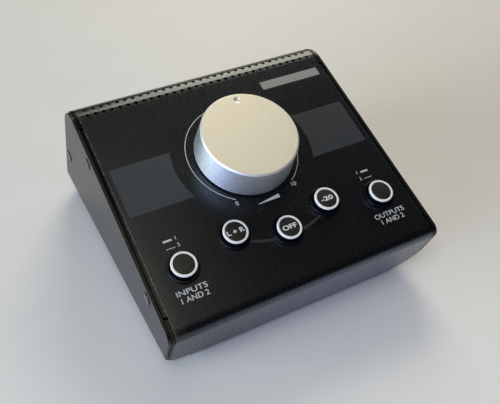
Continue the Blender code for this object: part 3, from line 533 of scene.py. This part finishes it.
# %% Dress the CAD nodes
FINISHES = {
    "cover_coat": powder_coat, "pan_coat": cheek_coat, "knob_metal": metal["satin_side"],
    "cap_black": plastic["black_gloss_plastic"], "ring_white": plastic["pale_ring_plastic"],
    "plunger_plastic": plastic["plunger_plastic"], "switch_plastic": plastic["switch_plastic"],
    "screw_steel": metal["dark_screw_steel"], "plated_steel": metal["plated_steel"],
    "socket_plastic": plastic["socket_plastic"], "board": plastic["board_mask"],
    "ribbon": plastic["ribbon_jacket"], "foot_rubber": plastic["foot_rubber"]}
SLOT_OF = {row["node"]: row["material_slot"] for row in frame["record"]["subparts"]}
for node, piece in frame["nodes"].items():
    piece.data.materials.clear()
    piece.data.materials.append(FINISHES[SLOT_OF[node]])
print(len(SLOT_OF), "CAD nodes dressed")

# %% [markdown]
# The volume knob is turned from aluminium: a flat blasted face, a polished chamfer that catches the light,
# and a skirt that widens a little towards the panel. It is one profile of radius and height carried round
# its axis. The pointer is a milled dimple, so the face is not quite a turned shape: near the pointer the
# height drops by the depth of a ball's cap.

# %% Sizes of the volume knob and its pointer
KNOB_TOP_RADIUS = 0.03105
KNOB_BASE_RADIUS = 0.0322
KNOB_TOP = 0.0221
KNOB_FOOT = 0.0015
KNOB_CHAMFER = 0.0009
CHAMFER_ROUND = 0.00025
RIM_ROUND = 0.0003
KNOB_WALL = 0.0021
CROWN_UNDER = 0.0171
HUB_RADIUS = 0.0080
HUB_FOOT = 0.0070
BORE_RADIUS = 0.0033
BORE_TOP = 0.0168
POINTER = np.array([0.0039, 0.0255])
POINTER_RADIUS = 0.0024
POINTER_DEPTH = 0.0009
POINTER_LIP = 0.00004
FACE_MARGIN = 0.0006


def pointer_depth(x, y):
    """Depth of the dimple: a ball's cap inside the pointer's circle, with a soft lip, and nothing outside.
    The ball's radius follows from the circle's: half of (circle squared plus depth squared) over depth."""
    ball = (POINTER_RADIUS ** 2 + POINTER_DEPTH ** 2) / (2 * POINTER_DEPTH)
    away = np.hypot(x - POINTER[0], y - POINTER[1])
    cap = np.sqrt(np.maximum(ball ** 2 - away ** 2, 0)) - (ball - POINTER_DEPTH)
    return (cap + np.sqrt(cap ** 2 + POINTER_LIP ** 2)) / 2 * (away < POINTER_RADIUS + FACE_MARGIN)


print("dimple depth at its middle:", pointer_depth(*POINTER))

# %% [markdown]
# A Boolean cut could make the dimple, but it leaves long thin faces round the rim, which shade badly. A
# grid shows a small dimple where its lines lie close together. The rings of the face are one step apart
# across the pointer and wide apart inside it, and the angles crowd towards the pointer in a bell curve.

# %% Rings and angles of the knob's face
FACE_STEP = 0.00015
INNER_RINGS = 8
KNOB_ANGLES = 200
CROWD_SPREAD = 0.14
CROWD = 9
TRIAL_STEPS = 20


def crowded_angles(count, middle, spread, crowd):
    """Angles round a full turn whose density is 1 plus crowd times a bell curve round the middle angle.
    They are read from the density's running sum at equal steps."""
    fine = np.linspace(-math.pi, math.pi, count * TRIAL_STEPS)
    density = 1 + crowd * np.exp(-(fine / spread) ** 2)
    share = np.cumsum(density)
    share = (share - share[0]) / (share[-1] - share[0])
    return middle + np.interp(np.linspace(0, 1, count, endpoint=False), share, fine)


pointer_distance = float(np.hypot(*POINTER))
face_near = pointer_distance - POINTER_RADIUS - FACE_MARGIN
face_far = pointer_distance + POINTER_RADIUS + FACE_MARGIN
face_rings = np.concatenate([np.linspace(0, face_near, INNER_RINGS, endpoint=False),
                             np.arange(face_near, face_far, FACE_STEP)])
knob_angles = crowded_angles(KNOB_ANGLES, math.atan2(POINTER[1], POINTER[0]), CROWD_SPREAD, CROWD)
print(len(face_rings), "rings and", len(knob_angles), "angles")

# %% [markdown]
# The profile goes out over the face, down the side, back in under the rim, round the hub and up into the
# bore, so the knob is one closed shell. Which of the three finishes a face gets follows from where its
# middle lies.

# %% Volume knob
FACE_LEVEL = 0.00002


def face_centres(piece):
    """Middles of a piece's faces in panel axes, one row for each: the panel's shift and turn undone."""
    centres = np.empty(len(piece.data.polygons) * 3)
    piece.data.polygons.foreach_get("center", centres)
    return (centres.reshape(-1, 3) - PANEL_ORIGIN) @ PANEL_TURN


def knob_zones(piece):
    """0 for the knob's side and underneath, 1 for its flat top with the dimple, 2 for its chamfer."""
    x, y, height = face_centres(piece).T
    depth = np.where(np.hypot(x - POINTER[0], y - POINTER[1]) < POINTER_RADIUS, POINTER_DEPTH, 0)
    top = height > KNOB_TOP - depth - FACE_LEVEL
    at_rim = np.hypot(x, y) > KNOB_TOP_RADIUS - KNOB_CHAMFER - CHAMFER_ROUND
    return np.where(top, 1, np.where((height > KNOB_TOP - KNOB_CHAMFER) & at_rim, 2, 0)).astype(np.int32)


outer_line = rounded([
    (face_rings[-1], KNOB_TOP, 0), (KNOB_TOP_RADIUS - KNOB_CHAMFER, KNOB_TOP, CHAMFER_ROUND),
    (KNOB_TOP_RADIUS, KNOB_TOP - KNOB_CHAMFER, CHAMFER_ROUND), (KNOB_BASE_RADIUS, KNOB_FOOT, RIM_ROUND),
    (KNOB_BASE_RADIUS - KNOB_WALL, KNOB_FOOT, RIM_ROUND), (KNOB_TOP_RADIUS - KNOB_WALL, CROWN_UNDER, 0),
    (HUB_RADIUS, CROWN_UNDER, 0), (HUB_RADIUS, HUB_FOOT, 0), (BORE_RADIUS, HUB_FOOT, 0),
    (BORE_RADIUS, BORE_TOP, 0), (0, BORE_TOP, 0)])
face_line = np.stack([face_rings[:-1], np.full(len(face_rings) - 1, KNOB_TOP)], axis=1)
knob_grid = turned(np.vstack([face_line, outer_line]), knob_angles, (0, 0, 0))
on_face = knob_grid[..., 2] > KNOB_TOP - WELD
knob_grid[..., 2] -= pointer_depth(knob_grid[..., 0], knob_grid[..., 1]) * on_face
knob = skin("knob", from_panel(knob_grid), metal["satin_side"], ring_section=False, loop=True)
knob.data.materials.append(metal["blasted_face"])
knob.data.materials.append(metal["bright_chamfer"])
knob.data.polygons.foreach_set("material_index", knob_zones(knob))
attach(knob, "knob")
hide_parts("volume_knob")
print("knob:", len(knob.data.polygons), "faces")

# %% [markdown]
# Each button is a black cap with a glossy side and a dull face, and a milky light ring that sits on its
# shoulder. It runs in a glossy black collar on the panel. All three are turned parts with small rounded
# edges, because it is the rounded edge that draws the bright line.

# %% Profiles of caps, rings and collars
CAP_RADIUS = 0.00775
CAP_TOP = 0.0054
BOSS_RADIUS = 0.00635
SHOULDER = 0.0040
FLANGE_RADIUS = 0.0091
FLANGE_TOP = -0.0020
FLANGE_FOOT = -0.0034
PLUNGER_HOLE_RADIUS = 0.0031
PLUNGER_HOLE_TOP = 0.0006
EDGE_ROUND = 0.0003
RING_INNER = 0.0064
RING_FOOT = 0.0043
RING_TOP = 0.0055
RING_ROUND = 0.0003
COLLAR_INNER = 0.0081
COLLAR_OUTER = 0.0099
COLLAR_TOP = 0.0015
COLLAR_ROUND = 0.0003
SEAT_GAP = 0.00002
cap_line = rounded([
    (0, CAP_TOP, 0), (BOSS_RADIUS, CAP_TOP, EDGE_ROUND), (BOSS_RADIUS, SHOULDER, 0),
    (CAP_RADIUS, SHOULDER, EDGE_ROUND / 3), (CAP_RADIUS, FLANGE_TOP, 0), (FLANGE_RADIUS, FLANGE_TOP, 0),
    (FLANGE_RADIUS, FLANGE_FOOT, 0), (PLUNGER_HOLE_RADIUS, FLANGE_FOOT, 0),
    (PLUNGER_HOLE_RADIUS, PLUNGER_HOLE_TOP, 0), (0, PLUNGER_HOLE_TOP, 0)])
ring_line = rounded([
    (CAP_RADIUS, (RING_FOOT + RING_TOP) / 2, 0), (CAP_RADIUS, RING_TOP, RING_ROUND),
    (RING_INNER, RING_TOP, EDGE_ROUND / 2), (RING_INNER, RING_FOOT, EDGE_ROUND / 3),
    (CAP_RADIUS, RING_FOOT, EDGE_ROUND / 3), (CAP_RADIUS, (RING_FOOT + RING_TOP) / 2, 0)])[:-1]
collar_line = rounded([
    (COLLAR_OUTER, (SEAT_GAP + COLLAR_TOP) / 2, 0), (COLLAR_OUTER, COLLAR_TOP, COLLAR_ROUND),
    (COLLAR_INNER, COLLAR_TOP, EDGE_ROUND), (COLLAR_INNER, SEAT_GAP, EDGE_ROUND / 3),
    (COLLAR_OUTER, SEAT_GAP, EDGE_ROUND / 3), (COLLAR_OUTER, (SEAT_GAP + COLLAR_TOP) / 2, 0)])[:-1]
print("profile points:", len(cap_line), len(ring_line), len(collar_line))

# %% Button caps, rings and collars
BUTTONS = {"source": (-0.0688, -0.0585), "mono": (-0.03204, -0.05076), "mute": (0, -0.0597),
           "dim": (0.03204, -0.05076), "monitor": (0.0688, -0.0585)}
BUTTON_STEPS = 72


def cap_face(piece):
    """1 for the faces of a cap's flat top, 0 for the rest."""
    return (face_centres(piece)[:, 2] > CAP_TOP - FACE_LEVEL).astype(np.int32)


for label, (x, y) in BUTTONS.items():
    grid = turned(collar_line, even_angles(BUTTON_STEPS), (x, y, 0))
    collar = skin("collar_" + label, from_panel(grid), plastic["black_gloss_plastic"], loop=True)
    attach(collar, "case")
    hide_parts("button_collar_" + label)
    grid = turned(cap_line, even_angles(BUTTON_STEPS), (x, y, 0))
    cap = skin("cap_" + label, from_panel(grid), plastic["black_gloss_plastic"], ring_section=False,
               loop=True)
    cap.data.materials.append(plastic["black_cap_face"])
    cap.data.polygons.foreach_set("material_index", cap_face(cap))
    grid = turned(ring_line, even_angles(BUTTON_STEPS), (x, y, 0))
    ring = skin("ring_" + label, from_panel(grid), plastic["pale_ring_plastic"], loop=True)
    for piece, node, slot in ((cap, "button_cap_", "cap_black"), (ring, "button_ring_", "ring_white")):
        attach(piece, "button_" + label)
        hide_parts(node + label)
print("caps, rings and collars:", 3 * len(BUTTONS), "pieces")

# %% [markdown]
# The cheeks are held by blackened screws with a low domed head and a cross recess. The head is a turned
# profile, and the cross is taken out of its dome: the height drops wherever a point lies inside one of the
# two arms. That leaves the head one closed grid, which a cut would not. A driver has worn the black off
# inside the cross, so the faces there are bare steel.

# %% Shape of a cheek screw
HEAD_RADIUS = 0.0037
HEAD_EDGE = 0.00050
HEAD_DOME = 0.00030
HEAD_ROUND = 0.00012
HEAD_SINK = -0.0001
CONE_FOOT = -0.0017
SHANK_RADIUS = 0.0015
SHANK_END = -0.0080
ARM_HALF_WIDTH = 0.00048
ARM_REACH = 0.0021
ARM_WALL = 0.00016
ARM_DEPTH = 0.0009
CROSS_RINGS = 30
RIM_RINGS = 8
SCREW_ANGLES = 96


def arm(lengthwise, crosswise):
    """1 inside one arm of the cross and 0 outside, with steep walls one wall's width wide."""
    inside = np.clip((ARM_HALF_WIDTH - np.abs(crosswise)) / ARM_WALL, 0, 1)
    return inside * np.clip((ARM_REACH - np.abs(lengthwise)) / ARM_WALL, 0, 1)


def cross_depth(x, y):
    """Depth of a cross recess: the deeper one of an arm along y and an arm along x."""
    return ARM_DEPTH * np.maximum(arm(y, x), arm(x, y))


dome_rings = np.concatenate([np.linspace(0, ARM_REACH, CROSS_RINGS, endpoint=False),
                             np.linspace(ARM_REACH, HEAD_RADIUS - HEAD_ROUND, RIM_RINGS, endpoint=False)])
dome_line = np.stack([dome_rings, HEAD_EDGE + HEAD_DOME * (1 - (dome_rings / HEAD_RADIUS) ** 2)], axis=1)
side_line = rounded([
    (dome_rings[-1], dome_line[-1, 1], 0), (HEAD_RADIUS, HEAD_EDGE, HEAD_ROUND), (HEAD_RADIUS, HEAD_SINK, 0),
    (SHANK_RADIUS, CONE_FOOT, 0), (SHANK_RADIUS, SHANK_END, 0), (0, SHANK_END, 0)])[1:]
screw_grid = turned(np.vstack([dome_line, side_line]), even_angles(SCREW_ANGLES), (0, 0, 0))
in_dome = np.arange(screw_grid.shape[1]) < len(dome_line)
screw_grid[..., 2] -= cross_depth(screw_grid[..., 0], screw_grid[..., 1]) * in_dome
print("screw grid:", screw_grid.shape[:2])

# %% Screws in the cheeks
CHEEK_X = 0.0930
WORN_SHARE = 0.3

# Each screw's place on the cheek, y and z in panel axes, and the angle in radians that it was left at.
CHEEK_SCREWS = {"rear": (0.0665, -0.0515, 0.30), "upper": (0.0301, -0.0087, 0.75),
                "front": (-0.0654, -0.0072, 0.15)}


def spun(x, y, angle):
    """A point turned about the middle: (x cos a - y sin a, x sin a + y cos a)."""
    return x * math.cos(angle) - y * math.sin(angle), x * math.sin(angle) + y * math.cos(angle)


def cross_zones(piece, side, y, z, turn):
    """1 for the faces inside the cross, where a driver has worn the black off, and 0 for the rest."""
    x, up_slope, out = face_centres(piece).T
    depth = cross_depth(*spun(up_slope - y, out - z, -turn))
    return ((depth > ARM_DEPTH * WORN_SHARE) & (side * x > CHEEK_X + CONE_FOOT)).astype(np.int32)


for side, side_name in ((-1, "left"), (1, "right")):
    for spot, (y, z, turn) in CHEEK_SCREWS.items():
        across, up = spun(screw_grid[..., 0], screw_grid[..., 1], turn)
        places = np.stack([side * (CHEEK_X + screw_grid[..., 2]), across + y, up + z], axis=-1)
        screw = skin("screw_%s_%s" % (side_name, spot), from_panel(places), plastic["blackened_screw"],
                     ring_section=False, loop=True)
        screw.data.materials.append(metal["worn_recess_steel"])
        screw.data.polygons.foreach_set("material_index", cross_zones(screw, side, y, z, turn))
        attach(screw, "case")
        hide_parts("cheek_screw_%s_%s" % (side_name, spot))
print(2 * len(CHEEK_SCREWS), "cheek screws,", len(screw.data.polygons), "faces each")

# %% [markdown]
# Every socket is held by a round black nut with a fine knurl. Teeth could be set round a ring one by one,
# but a turned ring whose outer radius swings a little with the angle needs none. It sits square to the
# rear wall.

# %% Nuts on the sockets
SOCKET_PLACES = (-0.0740, -0.0550, -0.0310, -0.0120, 0.0120, 0.0310, 0.0550, 0.0740)
SOCKET_Z = -0.0640
NUT_INNER = 0.0055
NUT_OUTER = 0.0071
NUT_HEIGHT = 0.0022
NUT_ROUND = 0.0004
KNURLS = 30
KNURL_DEPTH = 0.00022
KNURL_STEPS = 6
nut_line = rounded([
    (NUT_OUTER, NUT_HEIGHT / 2, 0), (NUT_OUTER, NUT_HEIGHT, NUT_ROUND),
    (NUT_INNER, NUT_HEIGHT, NUT_ROUND / 2), (NUT_INNER, SEAT_GAP, NUT_ROUND / 4),
    (NUT_OUTER, SEAT_GAP, NUT_ROUND / 4), (NUT_OUTER, NUT_HEIGHT / 2, 0)])[:-1]
nut_angles = even_angles(KNURLS * KNURL_STEPS)
for number, x in enumerate(SOCKET_PLACES, 1):
    ring = turned(nut_line, nut_angles, (0, 0, 0))
    outer = np.hypot(ring[..., 0], ring[..., 1]) > (NUT_INNER + NUT_OUTER) / 2
    swing = 1 - outer * KNURL_DEPTH / NUT_OUTER * (0.5 - 0.5 * np.cos(KNURLS * nut_angles))[:, None]
    places = np.stack([ring[..., 0] * swing + x, ring[..., 2] + REAR_WALL_Y,
                       ring[..., 1] * swing + SOCKET_Z], axis=-1)
    nut = skin("socket_nut_%d" % number, from_panel(places), plastic["socket_plastic"], loop=True)
    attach(nut, "case")
print(len(SOCKET_PLACES), "socket nuts")

# %% [markdown]
# The printing is a layer of ink a few hundredths of a millimetre thick. A print is a low strip: a path on
# the panel with a left and a right side, raised from just under the paint to the ink's height. A picture
# of the printing would blur up close, and a strip stays sharp.

# %% Printed shapes
INK_HEIGHT = 0.00003
INK_SINK = 0.00001


def print_strip(name, left, right, material, base=0.0, body="case"):
    """A strip of ink between a left and a right line of (x, y) panel points, on a surface at height base."""
    left, right = np.asarray(left, float), np.asarray(right, float)
    low = np.full(len(left), base - INK_SINK)
    high = np.full(len(left), base + INK_HEIGHT)
    sides = [np.column_stack(part) for part in ((left, low), (left, high), (right, high), (right, low))]
    piece = skin(name, from_panel(np.stack(sides, axis=1)), material)
    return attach(piece, body)


def arc(radius, centre_y, start, end, steps):
    """Points on a circle about (0, centre_y). Angles are in degrees clockwise from straight up the panel."""
    turn = np.radians(np.linspace(start, end, steps))
    return np.stack([radius * np.sin(turn), radius * np.cos(turn) + centre_y], axis=1)


def print_arc(name, radius, width, centre_y, start, end, steps, material):
    """A strip of ink along a circle, half of its width on either side of the radius."""
    return print_strip(name, arc(radius - width / 2, centre_y, start, end, steps),
                       arc(radius + width / 2, centre_y, start, end, steps), material)


def print_bar(name, low, high, material):
    """A rectangle of ink between two corners."""
    return print_strip(name, [(low[0], low[1]), (low[0], high[1])], [(high[0], low[1]), (high[0], high[1])],
                       material)


# %% [markdown]
# A thin white line runs round the knob, and its circle lies a little up the slope from the knob's own.
# Slate fields lie at the sides, hollowed by a circle round the knob, and two grey arcs lie between the
# middle button and its neighbours.

# %% Ring line, side fields and arc bands
RING_LINE_RADIUS = 0.0368
RING_LINE_CENTRE = 0.0017
RING_LINE_WIDTH = 0.00045
RING_LINE_END = 147.0
RING_LINE_STEPS = 160
FIELD_OUTER = 0.0849
FIELD_REAR = 0.0160
FIELD_FRONT = -0.0187
FIELD_ARC = 0.0470
FIELD_ARC_CENTRE = 0.0010
FIELD_STEPS = 40
BAND_RADIUS = 0.06275
BAND_WIDTH = 0.00175
BAND_START = 156.2
BAND_END = 170.8
BAND_STEPS = 16
print_arc("knob_ring_line", RING_LINE_RADIUS, RING_LINE_WIDTH, RING_LINE_CENTRE,
          -RING_LINE_END, RING_LINE_END, RING_LINE_STEPS, ink["white_ink"])
for side, side_name in ((-1, "left"), (1, "right")):
    y = np.linspace(FIELD_FRONT, FIELD_REAR, FIELD_STEPS)
    inner = np.sqrt(FIELD_ARC ** 2 - (y - FIELD_ARC_CENTRE) ** 2)
    print_strip("field_" + side_name, np.stack([side * np.full_like(y, FIELD_OUTER), y], axis=1),
                np.stack([side * inner, y], axis=1), ink["slate_film"])
    print_arc("band_" + side_name, BAND_RADIUS, BAND_WIDTH, 0, side * BAND_START, side * BAND_END,
              BAND_STEPS, ink["grey_ink"])
print("ring line, fields and bands printed")

# %% [markdown]
# Short bars lie up the slope from the outer buttons, a thick one and a thin one, each with a figure on the
# side towards the knob. A silver bar lies at the rear right, and in front of the knob a low ramp rises to
# the right, the usual sign for volume.

# %% Bars and the volume ramp
BAR_LENGTH = 0.0056
THICK_BAR = 0.0013
THIN_BAR = 0.0004
BARS = {"left_1": (-0.07045, -0.03995, THICK_BAR), "left_2": (-0.07045, -0.0450, THIN_BAR),
        "right_1": (0.0698, -0.03965, THICK_BAR), "right_2": (0.0698, -0.0447, THIN_BAR)}
SILVER_BAR = ((0.0376, 0.0420), (0.0840, 0.0486))
RAMP_FOOT = [(-0.0080, -0.0373), (0.0073, -0.0373)]
RAMP_TOP = [(-0.0080, -0.0370), (0.0073, -0.0347)]
for label, (x, y, height) in BARS.items():
    print_bar("bar_" + label, (x - BAR_LENGTH / 2, y - height / 2), (x + BAR_LENGTH / 2, y + height / 2),
              ink["white_ink"])
print_bar("silver_bar", *SILVER_BAR, ink["silver_ink"])
print_strip("volume_ramp", RAMP_FOOT, RAMP_TOP, ink["white_ink"])
print(len(BARS) + 2, "bars printed")

# %% [markdown]
# Figures are plain numbers and switch words, as on any dial. They are drawn with Blender's own font, given
# a little thickness and made into a mesh, because a mesh can carry its place on the slope in its points.
# Those on a cap ride with its button.

# %% Printed figures
CAPITALS_SHARE = 0.73
CURVE_STEPS = 6


def print_figures(name, words, height, centre, material, width=0.0, base=0.0, body="case", bold=0.0):
    """Flat figures of a height in metres, centred on a panel point, lifted from base by the ink's height.
    They are spread to a width where one is given. Capitals take a fixed share of a font's size."""
    curve = bpy.data.curves.new(name, "FONT")
    curve.body = words
    curve.align_x = "CENTER"
    curve.align_y = "CENTER"
    curve.size = height / CAPITALS_SHARE
    curve.offset = bold
    curve.extrude = (INK_HEIGHT + INK_SINK) / 2
    curve.resolution_u = CURVE_STEPS
    text = add_piece(name + "_text", curve)
    mesh = bpy.data.meshes.new_from_object(text.evaluated_get(bpy.context.evaluated_depsgraph_get()))
    bpy.data.objects.remove(text)
    flat = np.empty(len(mesh.vertices) * 3)
    mesh.vertices.foreach_get("co", flat)
    flat = flat.reshape(-1, 3)
    middle = (flat.min(axis=0) + flat.max(axis=0)) / 2
    flat -= middle
    if width:
        flat[:, 0] *= width / np.ptp(flat[:, 0])
    flat += np.array([centre[0], centre[1], base + (INK_HEIGHT - INK_SINK) / 2])
    mesh.vertices.foreach_set("co", from_panel(flat).ravel())
    mesh.materials.clear()
    mesh.materials.append(material)
    mend(mesh, drop_slivers=False)
    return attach(add_piece(name, mesh), body)


# %% Figures on the panel and on the caps
# A row is the words, their height, the place of their middle, and their width, or 0 for the font's own.
FIGURES = {
    "dial_0": ("0", 0.0031, (-0.0205, -0.0319), 0), "dial_10": ("10", 0.0029, (0.0202, -0.0317), 0),
    "left_1_mark": ("1", 0.0023, (-0.0652, -0.0396), 0),
    "left_2_mark": ("2", 0.0023, (-0.06515, -0.0441), 0),
    "right_1_mark": ("1", 0.0023, (0.06435, -0.0392), 0),
    "right_2_mark": ("2", 0.0023, (0.0644, -0.0439), 0),
    "in_label": ("INPUTS", 0.00335, (-0.0694, -0.0722), 0.0191),
    "in_numbers": ("1 AND 2", 0.00335, (-0.0692, -0.07665), 0.0170),
    "out_label": ("OUTPUTS", 0.00335, (0.0684, -0.0722), 0.0222),
    "out_numbers": ("1 AND 2", 0.00335, (0.06835, -0.0765), 0.0170)}
FIGURE_BOLD = 0.00005
CAP_FIGURES = {"mono": ("L + R", 0.0112), "mute": ("OFF", 0.0096), "dim": ("-20", 0.0083)}
CAP_FIGURE_HEIGHT = 0.0031
CAP_FIGURE_BOLD = 0.00010
for label, (words, height, centre, width) in FIGURES.items():
    print_figures(label, words, height, centre, ink["white_ink"], width, bold=FIGURE_BOLD)
for label, (words, width) in CAP_FIGURES.items():
    print_figures("cap_mark_" + label, words, CAP_FIGURE_HEIGHT, BUTTONS[label], ink["bright_cap_ink"],
                  width, CAP_TOP, "button_" + label, CAP_FIGURE_BOLD)
print(len(FIGURES) + len(CAP_FIGURES), "groups of figures")

# %% [markdown]
# The object stands on a plain pale table top. Its grey is a little lighter towards the camera, and that is
# painted light: more light from the front would do it too, but it would also change the object.

# %% Floor
FLOOR_REAR = (0.765, 0.765, 0.765)
FLOOR_FRONT = (0.90, 0.90, 0.90)
FLOOR_PAINTED_LIGHTER = (0.06, -0.14)
FLOOR_HALF = 4.0
floor_pale = plain_finish("pale_floor", FLOOR_REAR, swing=0.01, patch=0.05, roughness=0.6,
                          roughness_swing=0.03, grain_size=0.002, relief=0.00001)
floor_tree = floor_pale.node_tree
floor_colour = floor_tree.nodes["Principled BSDF"].inputs["Base Color"]
# Painted light: the floor's grey turns lighter towards the front.
nearer = along(floor_tree, place_of(floor_tree), "Y", *FLOOR_PAINTED_LIGHTER)
floor_tree.links.new(blend_colours(floor_tree, nearer, floor_colour.links[0].from_socket, FLOOR_FRONT),
                     floor_colour)
floor_ends = (-FLOOR_HALF, FLOOR_HALF)
floor_grid = np.array([[[x, y, 0] for x in floor_ends] for y in floor_ends], float)
floor = skin("floor", floor_grid, floor_pale, ring_section=False)
print("floor:", 2 * FLOOR_HALF, "metres wide")

# %% [markdown]
# The light has a warm side from behind on the right and a cool side from the left, as in a room with a
# lamp and a window. Each lamp is a soft rectangle that faces the object. A point lamp would draw hard
# small glints, and a rectangle draws the long pale ones that satin metal shows.

# %% World and lamps
LAMP_DISTANCE = 1.8
LAMP_LIFT = 0.05
WORLD_LIGHT = (0.012, 0.013, 0.014)

# A row is the bearing in degrees clockwise from straight behind, as seen from above, the rise in degrees,
# the lamp's width and height in metres, its power in watts and its colour.
LAMPS = {
    "ceiling_lamp": (225, 62, 1.0, 0.8, 9.5, (1.0, 0.98, 0.95)),
    "rear_lamp": (31, 34.5, 0.92, 0.9, 15.2, (1.0, 0.92, 0.72)),
    "right_rear": (70, 30, 1.0, 0.6, 2.2, (0.95, 0.95, 1.0)),
    "window_left": (275, 12, 1.0, 0.7, 19.5, (0.88, 1.0, 0.95)),
    "window_front": (250, 12, 1.0, 0.7, 19.0, (0.46, 0.58, 1.0)),
    "overhead": (0, 89.9, 0.8, 0.8, 1.8, (1.0, 0.91, 0.66))}
world = bpy.data.worlds.new("room")
world.use_nodes = True
bpy.context.scene.world = world
world.node_tree.nodes["Background"].inputs["Color"].default_value = (*WORLD_LIGHT, 1)
for name, (bearing, rise, width, height, power, colour) in LAMPS.items():
    light = bpy.data.lights.new(name, "AREA")
    light.shape = "RECTANGLE"
    light.size, light.size_y = width, height
    light.energy = power
    light.color = colour
    turn, lift = math.radians(bearing), math.radians(rise)
    lamp = add_piece(name, light)
    lamp.location = (LAMP_DISTANCE * math.sin(turn) * math.cos(lift),
                     LAMP_DISTANCE * math.cos(turn) * math.cos(lift),
                     LAMP_DISTANCE * math.sin(lift) + LAMP_LIFT)
    lamp.rotation_euler = (-lamp.location).to_track_quat("-Z", "Y").to_euler()
print(len(LAMPS), "lamps")

# %% [markdown]
# The camera stands in front on the left and looks down, as in the photograph. Its place was worked out
# from the straight edges of the case, the vent rows and the round knob. The shifts stand for a crop: the
# middle of the photograph is not the point at which the lens looked.

# %% Camera
SENSOR_MM = 36
LENS_MM = 47.286
CAMERA_SHIFT = (0.0718, -0.0578)
CAMERA_NEAREST = 0.01
CAMERA_PLACE = (-0.16908, -0.28489, 0.34129)
CAMERA_DEGREES = (48.8906, -1.0138, -27.1478)
camera_data = bpy.data.cameras.new("camera")
camera_data.sensor_width = SENSOR_MM
camera_data.lens = LENS_MM
camera_data.shift_x, camera_data.shift_y = CAMERA_SHIFT
camera_data.clip_start = CAMERA_NEAREST
camera = add_piece("camera", camera_data)
camera.location = CAMERA_PLACE
camera.rotation_euler = [math.radians(angle) for angle in CAMERA_DEGREES]
bpy.context.scene.camera = camera
bpy.context.scene.view_settings.view_transform = "Standard"
print("camera", round(camera.location.length, 3), "metres from the origin")
